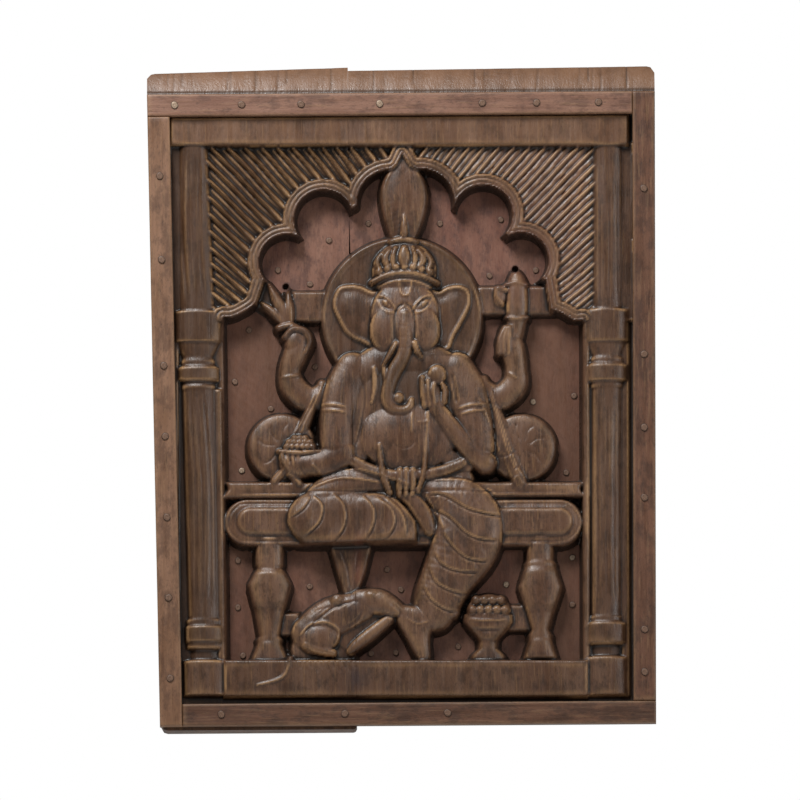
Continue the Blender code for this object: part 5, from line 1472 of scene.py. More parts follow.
@dataclass
class CarvedBoards:
    """The two carved boards, each one closed mesh."""

    relief: Relief
    finish: bpy.types.Material
    arch: Arch = Arch()
    fine_left: float = 1.22
    fine_right: float = 1.42
    coarse: float = 4.0
    joint_gap: float = 0.06

    def stations(self, low: float, high: float, fine_low: float, fine_high: float, fine: float) -> Array:
        """Places from low to high, close together between fine_low and fine_high.

        Args:
            low: The first place.
            high: The last place.
            fine_low: Where the close spacing starts.
            fine_high: Where it ends.
            fine: The close spacing.

        Returns:
            The places.
        """
        parts = []
        for start, end, step in ((low, fine_low, self.coarse), (fine_low, fine_high, fine),
                                 (fine_high, high, self.coarse)):
            if end - start > 1e-6:
                parts.append(np.linspace(start, end, max(2, int(round((end - start) / step)) + 1))[:-1])
        return np.append(np.concatenate(parts), high)

    def ends(self, side: Side, x: Array) -> tuple[Array, Array]:
        """The lower and upper end of a board at each x, with its outer corners rounded.

        Args:
            side: Which board.
            x: Places across.

        Returns:
            The z of the lower and of the upper end.
        """
        joint = PANEL.joint(PANEL.top)
        if side is Side.LEFT:
            outer = PANEL.sides(PANEL.top + PANEL.band_left)[0]
            share = np.clip((x - outer) / (joint - outer), 0.0, 1.0)
            top = PANEL.top + PANEL.band_left + PANEL.band_rise * share
            bottom = np.full(x.shape, PANEL.bottom - PANEL.lip_left)
            inner = np.abs(PANEL.joint(PANEL.bottom) - x)
            bottom += self.round_off(inner, PANEL.corner / 2.0)
            lower = x - PANEL.sides(PANEL.bottom)[0]
            return bottom + self.round_off(lower, PANEL.corner), top - self.round_off(x - outer, PANEL.corner)
        outer = PANEL.sides(PANEL.top)[1]
        share = np.clip((x - joint) / (outer - joint), 0.0, 1.0)
        start = PANEL.band_left + PANEL.band_rise - PANEL.band_step
        top = PANEL.top + start + (PANEL.band_right - start) * share
        bottom = np.full(x.shape, PANEL.bottom + PANEL.short_right)
        lower = PANEL.sides(PANEL.bottom)[1] - x
        return bottom + self.round_off(lower, PANEL.corner / 2.0), top - self.round_off(outer - x,
            PANEL.corner)

    def round_off(self, away: Array, radius: float) -> Array:
        """How far a quarter circle lies inside its corner, at a distance from the corner's side.

        Args:
            away: Distances from the side.
            radius: The circle's radius.

        Returns:
            The distances inside.
        """
        left = np.clip(radius - away, 0.0, radius)
        return radius - np.sqrt(radius**2 - left**2)

    def grid(self, side: Side) -> tuple[Array, Array]:
        """The places of the front's points, as grids of x and z.

        Args:
            side: Which board.

        Returns:
            The two grids.
        """
        fine = self.fine_left if side is Side.LEFT else self.fine_right
        corners = PANEL.field()
        wide = PANEL.batten_width
        if side is Side.LEFT:
            low, high = corners[3, 0] - wide, PANEL.joint(PANEL.top) - self.joint_gap
            across = self.stations(low, high, low + wide - 3.0, high, fine)
        else:
            low, high = PANEL.joint(PANEL.top) + self.joint_gap, corners[2, 0] + wide
            across = self.stations(low, high, low, high - wide + 3.0, fine)
        share = (across - across[0]) / (across[-1] - across[0])
        field_low, field_high = corners[0, 1] - 3.0, corners[2, 1] + 3.0
        body = self.stations(PANEL.bottom, PANEL.top, field_low, field_high, fine)
        lip, band = np.linspace(0.0, 1.0, 5)[:-1], np.linspace(0.0, 1.0, 20)[1:]
        rows = np.concatenate([np.full(len(lip), PANEL.bottom), body, np.full(len(band), PANEL.top)])
        start_left, start_right = PANEL.sides(rows)
        joint = PANEL.joint(rows)
        first = start_left if side is Side.LEFT else joint + self.joint_gap
        last = joint - self.joint_gap if side is Side.LEFT else start_right
        x = first[None, :] + (last - first)[None, :] * share[:, None]
        z = np.repeat(rows[None, :], len(share), axis=0)
        bottom, top = self.ends(side, x)
        z[:, : len(lip)] = bottom[:, : len(lip)] + (PANEL.bottom + 6.0 - bottom[:, : len(lip)]) * lip
        z[:, len(lip)] = PANEL.bottom + 6.0
        z[:, -len(band):] = PANEL.top + (top[:, -len(band):] - PANEL.top) * band
        return x, np.maximum.accumulate(z, axis=1)

    def snapped(self, x: Array, z: Array, level: float) -> tuple[Array, Array, Array]:
        """Move the points next to the line where the gap has the given level onto that line.

        A point moves against the gap's slope by what its gap misses, if that is under 0.6 of a cell.

        Args:
            x: Places across, as a grid.
            z: Places up, as a grid.
            level: The gap on the line.

        Returns:
            The moved grids, and which points lie inside or on the line.
        """
        step = self.relief.pitch
        for _ in range(3):
            gap = self.relief.at("gap", x, z)
            slope_x = (self.relief.at("gap", x + step, z) - self.relief.at("gap", x - step, z)) / (2 * step)
            slope_z = (self.relief.at("gap", x, z + step) - self.relief.at("gap", x, z - step)) / (2 * step)
            size = np.maximum(slope_x**2 + slope_z**2, 0.2)
            miss = level - gap
            near = (np.abs(miss) < 0.62 * self.fine_right) & (gap > 0.0)
            x = np.where(near, x + np.clip(miss * slope_x / size, -0.8, 0.8), x)
            z = np.where(near, z + np.clip(miss * slope_z / size, -0.8, 0.8), z)
        return x, z, self.relief.at("gap", x, z) < level + 0.12

    def build(self, side: Side) -> bpy.types.Object:
        """Make one board.

        Args:
            side: Which board.

        Returns:
            The piece.
        """
        x, z = self.grid(side)
        x, z, kept = self.snapped(x, z, PANEL.draft)
        flat_x, flat_z = x.ravel(), z.ravel()
        faces = grid_triangles(kept)
        faces = faces[:, ::-1] if self.turned_in(flat_x, flat_z, faces) else faces
        height = np.maximum(self.relief.at("height", flat_x, flat_z), PANEL.land)
        height = np.where(self.relief.at("beyond", flat_x, flat_z) > 0.0, np.minimum(height, PANEL.bed),
            height)
        beyond = flat_z - PANEL.top
        end_grain = self.relief.bed(flat_z) + 0.3 * ripple(flat_x / 4.0, flat_z / 12.0, 31)
        end_grain -= 0.9 * self.relief.checks(flat_x, flat_z)
        height = np.where(beyond > 0.0, end_grain, height)
        points = np.stack([flat_x, -(PANEL.back + height), flat_z], axis=1)
        points, faces = closed_back(points, faces, PANEL.back)
        points, faces, used = without_unused(points, faces)
        name = f"carved_board_{side.value}"
        piece = new_piece(name, points, faces)
        piece.data.set_sharp_from_angle(angle=math.radians(76.0))
        flat_behind(piece, points, faces, PANEL.back)
        without_slits(piece)
        self.mark_looks(piece, points)
        return dressed(piece, self.finish, Slot.CARVED, f"board_{side.value}")

    def turned_in(self, x: Array, z: Array, faces: Array) -> bool:
        """Whether the front's triangles face the wall.

        Args:
            x: Places across.
            z: Places up.
            faces: The triangles.

        Returns:
            True if they have to be turned.
        """
        a, b, c = faces[len(faces) // 2]
        return bool((x[b] - x[a]) * (z[c] - z[a]) - (x[c] - x[a]) * (z[b] - z[a]) < 0.0)

    def mark_looks(self, piece: bpy.types.Object, points: Array) -> None:
        """Store how worn and how tinted each point is, and how much grime and painted shade darken it.

        Args:
            piece: The board.
            points: Its points in millimetres.
        """
        x, z = points[:, 0], points[:, 2]
        front = points[:, 1] < -(PANEL.back + PANEL.land + 0.5)
        back = points[:, 1] > -(PANEL.back + 0.01)
        u, v = PANEL.to_drawing(x, z)
        sizes = ("worn", "hollow", "gap", "crease")
        worn, hollow, gap, crease = (self.relief.at(name, x, z) for name in sizes)
        stands = (1.0 - 0.85 * smooth_step(-hollow, 1.2, 3.6)) * smooth_step(-gap, 0.5, 3.5)
        rubbed = 0.3 * smooth_step(-hollow, 0.6, 3.2) * smooth_step(-gap, 1.5, 5.0)
        edges = np.clip((worn - 0.1) / 0.34, 0.0, 1.0) ** 1.2 * stands
        # Grime and painted shade: places below their surroundings and in creases darken, and the sawn walls
        # most of all.
        low = np.maximum(np.clip(hollow / 5.5, 0.0, 1.0), np.clip(crease / 1.35 - 0.05, 0.0, 1.0))
        low = np.maximum(low, 0.85 * smooth_step(gap, -0.3, 1.0))
        # Painted shade: a dark strip in the groove just above the battens' top edge, carried in the checks
        # attribute.
        painted_shade_strip = 0.85 * bell(z, PANEL.top + 3.0, 2.6)
        # The side walls and the flat back get fixed amounts of the same grime and painted shade.
        values = {"worn": np.maximum(edges, rubbed), "hollow": np.where(front, low, np.where(back, 0.3, 0.8)),
                  "checks": (z > PANEL.top) * np.maximum(painted_shade_strip, 0.8 * self.relief.checks(x, z)),
                  **self.tints(u, v, z)}
        for name, value in values.items():
            add_value(piece, name, value if name == "hollow" else value * front)

    def tints(self, u: Array, v: Array, z: Array) -> dict[str, Array]:
        """How strongly each tint shows, by its place in the drawing: tints of the stained wood, the top
        band's lighter tan, which is partly painted light, and the shade, which is partly painted shade.

        Args:
            u: Places across the drawing.
            v: Places up the drawing.
            z: Heights on the panel.

        Returns:
            The strengths, from 0 to 1, by the tint's name.
        """
        pink = smooth_step(u, 60.0, 130.0) * smooth_step(v, 84.0, 110.0) * (1 - smooth_step(v, 250, 252))
        # The top band is tinted a lighter tan: partly the end grain's colour, partly painted light where the
        # band faces up; the lintel gets a little of it as its own lighter tone.
        band = smooth_step(z, PANEL.top - 1.0, PANEL.top + 3.0)
        lintel = (v > 251.0) * (v < 285.0)
        drips = bell(v, -281.0, 12.0) + 0.5 * bell(v, -205.0, 16.0) + 0.35 * bell(v, 268.0, 14.0)
        red = bell(u, -44.0, 5.0) * smooth_step(v, -192.0, -180.0) * (1 - smooth_step(v, -150, -130))
        # The shade tint darkens the pillars, chest, left hatch, halo and knee: partly the wood's darker tone,
        # partly painted shade.
        pillar = 0.95 * (1.0 - smooth_step(u, -186.0, -176.0)) + 0.6 * smooth_step(u, 178.0, 188.0)
        pillar = pillar * (v < 252.0) * (v > -262.0) + 0.4 * (v < -263.0)
        chest = 1.3 * bell(u, 0.0, 42.0) * bell(v, 18.0, 24.0)
        hatch = 0.85 * (np.abs(u + 90.0) < 106.0) * (v > 90.0) * (v < 252.0) * (self.arch.outside(u, v) > 9.0)
        away = np.hypot(u + 1.0, v - 81.0)
        halo = 0.65 * (away < 80.0) * smooth_step(away, 38.0, 46.0) * (v > 40.0)
        knee = 0.5 * bell(u, -60.0, 48.0) * bell(v, -122.0, 26.0)
        return {"pink": pink * (u < 186), "band": band + 0.4 * lintel * (1.0 - band),
                "stain": bell(u, -47.0, 9.0) * drips, "red": red,
                "shade": np.clip(pillar + chest + hatch + halo + knee, 0.0, 1.0)}


# The plain pieces


@dataclass
class BackingBoard:
    """The plain board behind, with two drilled holes."""

    finish: bpy.types.Material
    pitch: float = 2.0
    drill_radius: float = 3.6
    drill_depth: float = 9.0
    drop: float = 3.0
    sink: float = 0.35

    def build(self) -> bpy.types.Object:
        """Make the board: a grid between its slanted sides, with points moved onto the holes' rims."""
        low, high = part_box("backing_board")
        z = np.linspace(low.z / MM, high.z / MM, int((high.z - low.z) / MM / self.pitch))
        left, right = PANEL.sides(z)
        inset = (right - left - (high.x - low.x) / MM)[-1] / 2.0
        share = np.linspace(0.0, 1.0, int((high.x - low.x) / MM / self.pitch))
        x = (left + inset)[None, :] + (right - left - 2.0 * inset)[None, :] * share[:, None]
        z = np.repeat(z[None, :], len(share), axis=0)
        hole = np.zeros(x.shape)
        for u, v in PANEL.drilled:
            middle_x, middle_z = PANEL.to_panel(u, v)
            middle_z += self.drop
            away = np.hypot(x - middle_x, z - middle_z)
            near = np.abs(away - self.drill_radius) < 0.6 * self.pitch
            pull = np.where(near, self.drill_radius / np.maximum(away, 1e-3), 1.0)
            x, z = middle_x + (x - middle_x) * pull, middle_z + (z - middle_z) * pull
            hole = np.maximum(hole, np.where(near, 0.6, away < self.drill_radius))
        sunk = self.sink * (0.5 + 0.5 * ripple(x / 11.0, z / 14.0, 41))
        edge = np.minimum(np.minimum(x - x[:1], x[-1:] - x), np.minimum(z - z[:, :1], z[:, -1:] - z))
        depth = -low.y / MM - sunk * smooth_step(edge, 0.0, 8.0) - self.drill_depth * (hole > 0.9)
        count = x.size
        points = np.stack([x.ravel(), -depth.ravel(), z.ravel()], axis=1)
        points, faces = closed_back(points, grid_triangles(np.ones(x.shape, bool)), 0.0)
        piece = new_piece("plain_backing", points, faces)
        piece.data.set_sharp_from_angle(angle=math.radians(60.0))
        flat_behind(piece, points, faces, 0.0)
        u, v = PANEL.to_drawing(points[:, 0], points[:, 2])
        brown = (1.0 - smooth_step(v, 60.0, 100.0)) * (0.5 + 0.5 * smooth_step(np.abs(u), 90.0, 130.0))
        add_value(piece, "brown", np.where(np.arange(len(points)) < count, brown, 0.5))
        # Painted shade: the drilled holes and their rims are darkened.
        add_value(piece, "hollow", np.append(hole.ravel(), np.zeros(len(points) - count)))
        return dressed(piece, self.finish, Slot.BACKING, "backing_board")


@dataclass
class Battens:
    """The four nailed battens, each with worn arrises and a slightly uneven face."""

    finish: bpy.types.Material
    arris: float = 2.0
    pitch: float = 4.0
    uneven: float = 0.35

    def plans(self) -> dict[str, tuple[tuple[float, float], ...]]:
        """Each batten's corners: near end left and right, then far end left and right of its run."""
        wide, half = PANEL.batten_width, PANEL.gap / 2.0
        low, high = PANEL.bottom, PANEL.top
        under, over = low + wide, high - wide

        def left(z: float, inset: float = 0.0) -> tuple[float, float]:
            """A point on the left edge or inset from it."""
            return PANEL.sides(z)[0] + inset, z

        def right(z: float, inset: float = 0.0) -> tuple[float, float]:
            """A point on the right edge or inset from it."""
            return PANEL.sides(z)[1] - inset, z

        return {
            "batten_top": (
                left(high), left(over + half), right(high, wide + half), right(over + half, wide + half)),
            "batten_right": (
                right(under + half, wide - half), right(under + half), right(high, wide - half), right(high)),
            "batten_bottom": (
                left(under - half, wide + half), left(low, wide + half), right(under - half), right(low)),
            "batten_left": (
                left(low), left(low, wide - half), left(over - half), left(over - half, wide - half)),
        }

    def section(self, depth: float, steps: int = 5) -> Array:
        """Half-round arrises and a flat face: rows of (share across, height), round the section.

        Args:
            depth: The batten's thickness.
            steps: Points on each arris.

        Returns:
            The rows, counter-clockwise from the lower left, seen along the run.
        """
        r, w = self.arris, PANEL.batten_width
        turn = np.linspace(0.0, math.pi / 2.0, steps)
        up = np.stack([(r - r * np.cos(turn)) / w, depth - r + r * np.sin(turn)], axis=1)
        face = np.stack([np.linspace(r / w, 1.0 - r / w, 12)[1:-1], np.full(10, depth)], axis=1)
        down = up[::-1] * (-1.0, 1.0) + (1.0, 0.0)
        return np.concatenate([[(0.0, 0.0)], up, face, down, [(1.0, 0.0)]])

    def build(self, node: str, seed: int) -> bpy.types.Object:
        """Make one batten by carrying its section along its plan.

        Args:
            node: The node that it replaces.
            seed: Which unevenness it has.

        Returns:
            The piece.
        """
        a, b, c, d = (np.array(p) for p in self.plans()[node])
        length = float(np.hypot(*(c - a)))
        ends = self.arris * (1.0 - np.cos(np.linspace(0.0, math.pi / 2.0, 5)))
        along = np.concatenate([ends, np.linspace(self.arris, length - self.arris,
            int(length / self.pitch))[1:-1], length - ends[::-1]])
        depth = PANEL.batten_thick
        section = self.section(depth)
        share = (along / length)[:, None, None]
        across, height = section[None, :, 0, None], np.repeat(section[None, :, 1], len(along), axis=0)
        left, right = a + (c - a) * share, b + (d - b) * share
        plan = left + (right - left) * across
        top = section[None, :, 1] > 0.0
        wave = self.uneven * ripple(along[:, None] / 23.0, section[None, :, 0] * 2.2, seed)
        dent = 0.9 * smooth_step(ripple(along[:, None] / 6.0, section[None, :, 0] * 6.0, seed + 50), 1.35,
            2.1)
        height = height + np.where(top, -np.abs(wave) * 0.6 - dent, 0.0)
        near_end = np.minimum(along, length - along)[:, None]
        into = np.clip(self.arris - near_end, 0, None)
        drop = self.arris - np.sqrt(np.maximum(self.arris**2 - into**2, 0.0))
        height = np.where(top, np.maximum(height - drop, 0.5), height)
        base = PANEL.back + PANEL.bed + PANEL.gap
        points = np.stack([plan[..., 0], -(base + height), plan[..., 1]], axis=2)
        rows, count = points.shape[:2]
        index = np.arange(rows * count).reshape(rows, count)
        nxt = np.roll(index, -1, axis=1)
        faces = np.stack([index[:-1], index[1:], nxt[1:], nxt[:-1]], axis=2).reshape(-1, 4)
        caps = [index[0].tolist(), index[-1][::-1].tolist()]
        piece = new_piece(f"worn_{node}", points.reshape(-1, 3), faces, caps)
        outward(piece)
        edge = 1.0 - smooth_step(np.minimum(section[:, 0], 1.0 - section[:, 0]) * PANEL.batten_width, 0.0,
            3.2)
        worn = np.repeat((edge * (section[:, 1] > depth - self.arris - 0.2))[None, :], rows, axis=0)
        add_value(piece, "worn", 0.4 * np.clip(worn + (near_end < 2.0) * 0.7, 0.0, 1.0).ravel())
        return dressed(piece, self.finish, Slot.BATTEN, node)


def outward(piece: bpy.types.Object) -> None:
    """Turn a closed mesh right side out if its signed volume is negative.

    Args:
        piece: The piece.
    """
    mesh = piece.data
    mesh.calc_loop_triangles()
    co = np.zeros(len(mesh.vertices) * 3)
    mesh.vertices.foreach_get("co", co)
    tris = np.zeros(len(mesh.loop_triangles) * 3, int)
    mesh.loop_triangles.foreach_get("vertices", tris)
    p = co.reshape(-1, 3)[tris.reshape(-1, 3)]
    if np.einsum("ij,ij->i", p[:, 0], np.cross(p[:, 1], p[:, 2])).sum() < 0.0:
        mesh.flip_normals()


@dataclass
class NailHeads:
    """The nail heads: low, uneven domes with hammered facets and a slight dimple."""

    iron: bpy.types.Material
    pale: bpy.types.Material
    sides: int = 20
    rise: float = 0.8

    def build(self, node: str, seed: int) -> bpy.types.Object:
        """Make one head as a turned profile whose radius wavers.

        Args:
            node: The node that it replaces.
            seed: Which wavering it has.

        Returns:
            The piece.
        """
        low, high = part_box(node)
        middle = (low + high) / (2.0 * MM)
        radius = (high.x - low.x) / (2.0 * MM)
        draw = np.random.default_rng(seed)
        profile = np.array([(1.0, 0.0), (1.0, 0.35), (0.93, 0.7), (0.8, 0.92), (0.55, 1.0), (0.3, 0.97),
            (0.12, 0.9)])
        angle = np.arange(self.sides) * math.tau / self.sides
        twice, fivefold = draw.uniform(0, 6), draw.uniform(0, 6)
        waver = 1.0 + 0.05 * np.sin(2 * angle + twice) + 0.03 * np.sin(5 * angle + fivefold)
        ring = radius * 0.97 * profile[:, :1] * waver[None, :]
        tilt = 0.16 * draw.uniform(-1, 1) * np.cos(angle + draw.uniform(0, 6))
        rise = self.rise * profile[:, 1:] * (1.0 + tilt[None, :] * profile[:, :1])
        base = -high.y / MM
        points = np.stack([middle.x + ring * np.cos(angle), -(base + rise * np.ones_like(ring)),
                           middle.z + ring * np.sin(angle)], axis=2)
        index = np.arange(points.shape[0] * self.sides).reshape(-1, self.sides)
        nxt = np.roll(index, -1, axis=1)
        faces = np.stack([index[:-1], nxt[:-1], nxt[1:], index[1:]], axis=2).reshape(-1, 4)
        caps = [index[0][::-1].tolist(), index[-1].tolist()]
        piece = new_piece(f"head_{node}", points.reshape(-1, 3), faces, caps)
        outward(piece)
        # The head's outer ring is marked for a ring of painted shade where it meets the wood.
        add_value(piece, "rim", 0.85 * np.repeat(profile[:, 0] > 0.9, self.sides))
        finish = self.pale if draw.uniform() < 0.16 else self.iron
        return dressed(piece, finish, Slot.NAIL, node)


# Finishes


def linear(code: str) -> tuple[float, float, float, float]:
    """Turn an sRGB hex colour into linear light.

    Args:
        code: Six hex digits after a hash.

    Returns:
        Red, green, blue and alpha.
    """
    parts = [int(code[k : k + 2], 16) / 255.0 for k in (1, 3, 5)]
    red, green, blue = (c / 12.92 if c <= 0.04045 else ((c + 0.055) / 1.055) ** 2.4 for c in parts)
    return red, green, blue, 1.0


def add_node(tree: bpy.types.NodeTree, kind: str, settings: dict[str, Any] | None = None,
             links: dict[Any, Any] | None = None) -> bpy.types.Node:
    """Add a node, set its properties and sockets, and link its inputs.

    Args:
        tree: The node tree.
        kind: The node's type.
        settings: Properties by name, and input sockets by name or number in a "sockets" dictionary.
        links: Output sockets by the name or number of the input that they feed.

    Returns:
        The node.
    """
    node = tree.nodes.new(kind)
    for key, value in (settings or {}).items():
        if key == "sockets":
            for socket, number in value.items():
                node.inputs[socket].default_value = number
        else:
            setattr(node, key, value)
    for socket, output in (links or {}).items():
        tree.links.new(output, node.inputs[socket])
    return node


def span(low: float, high: float, first: float = 0.0, last: float = 1.0) -> dict[str, Any]:
    """The settings that carry a number from one range to another, without going past either end.

    Args:
        low: The number that gives first.
        high: The number that gives last.
        first: The result at low.
        last: The result at high.

    Returns:
        The settings for add_node.
    """
    return {"sockets": {"From Min": low, "From Max": high, "To Min": first, "To Max": last}}


def laid_over(tree: bpy.types.NodeTree, under: Any, code: str, share: Any, reach: dict[str, Any]) -> Any:
    """Lay one colour over another, as thick as a number says.

    Args:
        tree: The node tree.
        under: The colour below, as a socket or as four numbers.
        code: The colour on top, in hex.
        share: The number's socket.
        reach: The span from that number to the thickness.

    Returns:
        The colour's socket.
    """
    thick = add_node(tree, "ShaderNodeMapRange", reach, {"Value": share}).outputs[0]
    sockets, links = {7: linear(code)}, {0: thick}
    (links if isinstance(under, bpy.types.NodeSocket) else sockets)[6] = under
    return add_node(tree, "ShaderNodeMix", {"data_type": "RGBA", "sockets": sockets}, links).outputs[2]


def broken(tree: bpy.types.NodeTree, value: Any, noise: Any, reach: dict[str, Any]) -> Any:
    """Thin a number by noise, so that what it paints breaks up as wear does.

    Args:
        tree: The node tree.
        value: The number's socket.
        noise: The noise's socket.
        reach: The span from the noise to what is left of the number.

    Returns:
        The thinned number's socket.
    """
    left = add_node(tree, "ShaderNodeMapRange", reach, {"Value": noise}).outputs[0]
    return add_node(tree, "ShaderNodeMath", {"operation": "MULTIPLY"}, {0: value, 1: left}).outputs[0]


@dataclass(frozen=True)
class WoodFinish:
    """An old, stained and waxed hardwood, cut by hand: streaky grain, tan worn arrises, and hollows darkened
    by grime and painted shade.
    """

    name: str
    light: str
    mid: str
    dark: str
    grime_and_shade: str
    tan: str
    grain_axis: str = "Z"
    grain_mm: float = 2.2
    streak_mm: float = 60.0
    roughness: float = 0.5
    bump: float = 0.25
    chatter: float = 0.0
    figure: float = 0.35
    reads: tuple[str, ...] = ()

    def noise(self, tree: bpy.types.NodeTree, place: Any, across: float, along: float, detail: float,
              rough: float = 0.6) -> Any:
        """Patches of lighter and darker wood, drawn out along the grain.

        Args:
            tree: The node tree.
            place: The coordinates' socket.
            across: The patches' size across the grain, in millimetres.
            along: Their size along the grain.
            detail: How many finer sizes are added.
            rough: How strong those are.

        Returns:
            The socket of a number near 0.5 in the mean.
        """
        scale = [1.0 / (across * MM)] * 3
        scale["XYZ".index(self.grain_axis)] = 1.0 / (along * MM)
        mapped = add_node(tree, "ShaderNodeMapping", {"sockets": {"Scale": scale}}, {"Vector": place})
        settings = {"sockets": {"Scale": 1.0, "Detail": detail, "Roughness": rough}}
        return add_node(tree, "ShaderNodeTexNoise", settings, {"Vector": mapped.outputs[0]}).outputs[0]

    def make(self) -> bpy.types.Material:
        """Make the material: five layers of the wood's colours, then what the mesh's numbers tint."""
        made = bpy.data.materials.new(self.name)
        made.use_nodes = True
        tree = made.node_tree
        shader = tree.nodes["Principled BSDF"]
        place = add_node(tree, "ShaderNodeTexCoord").outputs["Object"]
        broad = self.noise(tree, place, 38.0, 150.0, 3.0, 0.55)
        streak = self.noise(tree, place, 4.5, self.streak_mm, 5.0)
        grain = self.noise(tree, place, self.grain_mm, self.streak_mm * 0.5, 3.0)
        speck = self.noise(tree, place, 1.6, 5.0, 3.0, 0.7)
        blotch = self.noise(tree, place, 13.0, 22.0, 6.0, 0.68)
        colour = laid_over(tree, linear(self.mid), self.light, broad, span(0.35, 0.65))
        layers = (
            (self.dark, streak, span(0.36, 0.6, self.figure, 0.0)),
            (self.dark, blotch, span(0.4, 0.53, 0.65, 0.0)),
            (self.tan, grain, span(0.54, 0.7, 0.0, 0.2)),
            (self.grime_and_shade, speck, span(0.3, 0.44, 0.45, 0.0)),
        )
        for code, share, reach in layers:
            colour = laid_over(tree, colour, code, share, reach)
        for name in self.reads:
            colour = self.read(tree, name, colour, broad, speck)
        shader.inputs["IOR"].default_value = 1.5
        tree.links.new(colour, shader.inputs["Base Color"])
        reach = span(0.3, 0.7, self.roughness - 0.1, self.roughness + 0.14)
        rough = add_node(tree, "ShaderNodeMapRange", reach, {"Value": streak}).outputs[0]
        tree.links.new(rough, shader.inputs["Roughness"])
        self.link_bump(tree, shader, place, (streak, grain, speck))
        return made

    def read(self, tree: bpy.types.NodeTree, name: str, colour: Any, broad: Any, speck: Any) -> Any:
        """Tint the colour by one of the numbers that the mesh stores for each point.

        Args:
            tree: The node tree.
            name: The attribute's name.
            colour: The colour so far.
            broad: Broad noise, which breaks a tint up.
            speck: Fine noise, which breaks an edge up.

        Returns:
            The tinted colour's socket.
        """
        value = add_node(tree, "ShaderNodeAttribute", {"attribute_name": name}).outputs["Fac"]
        # Hollows and sawn walls take the grime colour, as grime and painted shade.
        if name == "hollow":
            return laid_over(tree, colour, self.grime_and_shade, value, span(0.12, 0.9, 0.0, 0.9))
        if name == "worn":
            rubbed = broken(tree, value, speck, span(0.25, 0.6, 0.35))
            rubbed = broken(tree, rubbed, broad, span(0.35, 0.6, 0.55))
            return laid_over(tree, colour, self.tan, rubbed, span(0.0, 1.0, 0.0, 0.9))
        tints = {"pink": ("#6c4939", 0.6), "band": ("#7b5a42", 0.75), "stain": ("#242027", 0.8),
                 "red": ("#5e2c1c", 0.6), "shade": ("#38220f", 0.75), "checks": (self.grime_and_shade, 0.9),
                 "brown": ("#5a3822", 0.8)}
        code, most = tints[name]
        share = broken(tree, value, broad, span(0.3, 0.6, 0.6))
        return laid_over(tree, colour, code, share, span(0.0, 1.0, 0.0, most))

    def link_bump(self, tree: bpy.types.NodeTree, shader: bpy.types.Node, place: Any,
                  fine: Sequence[Any]) -> None:
        """Add the grain's fine relief, and the plane's chatter marks where a finish has them.

        Args:
            tree: The node tree.
            shader: The shader.
            place: The coordinates' socket.
            fine: The sockets of the noises that the relief is the sum of.
        """
        total = fine[0]
        for noise in fine[1:]:
            total = add_node(tree, "ShaderNodeMath", {"operation": "ADD"}, {0: total, 1: noise}).outputs[0]
        if self.chatter > 0.0:
            settings = {"wave_type": "BANDS", "bands_direction": "DIAGONAL",
                        "sockets": {"Scale": 60.0, "Distortion": 6.0, "Detail": 2.0, "Detail Scale": 0.6}}
            wave = add_node(tree, "ShaderNodeTexWave", settings, {"Vector": place}).outputs[1]
            settings = {"operation": "MULTIPLY_ADD", "sockets": {1: self.chatter}}
            total = add_node(tree, "ShaderNodeMath", settings, {0: wave, 2: total}).outputs[0]
        settings = {"sockets": {"Strength": self.bump, "Distance": 0.0008}}
        bump = add_node(tree, "ShaderNodeBump", settings, {"Height": total})
        tree.links.new(bump.outputs[0], shader.inputs["Normal"])


@dataclass(frozen=True)
class IronFinish:
    """An old forged nail head: rusted and rubbed with the wood's stain, duller than clean iron."""

    name: str
    body: str
    spot: str
    metallic: float
    roughness: float = 0.52
    grime_and_shade: str = "#1c120c"

    def make(self) -> bpy.types.Material:
        """Make the material: spots of a second colour on the first, a ring of painted shade round the head's
        edge, and a pitted surface.
        """
        made = bpy.data.materials.new(self.name)
        made.use_nodes = True
        tree = made.node_tree
        shader = tree.nodes["Principled BSDF"]
        place = add_node(tree, "ShaderNodeTexCoord").outputs["Object"]
        settings = {"sockets": {"Scale": 700.0, "Detail": 4.0, "Roughness": 0.6}}
        noise = add_node(tree, "ShaderNodeTexNoise", settings, {"Vector": place}).outputs[0]
        rim = add_node(tree, "ShaderNodeAttribute", {"attribute_name": "rim"}).outputs["Fac"]
        colour = laid_over(tree, linear(self.spot), self.body, noise, span(0.38, 0.62))
        # Painted shade: the head's outer ring is darkened.
        colour = laid_over(tree, colour, self.grime_and_shade, rim, span(0.0, 1.0))
        tree.links.new(colour, shader.inputs["Base Color"])
        shader.inputs["Metallic"].default_value = self.metallic
        shader.inputs["Roughness"].default_value = self.roughness
        bump = add_node(tree, "ShaderNodeBump", {"sockets": {"Strength": 0.4, "Distance": 0.0004}},
                        {"Height": noise})
        tree.links.new(bump.outputs[0], shader.inputs["Normal"])
        return made


# The studio


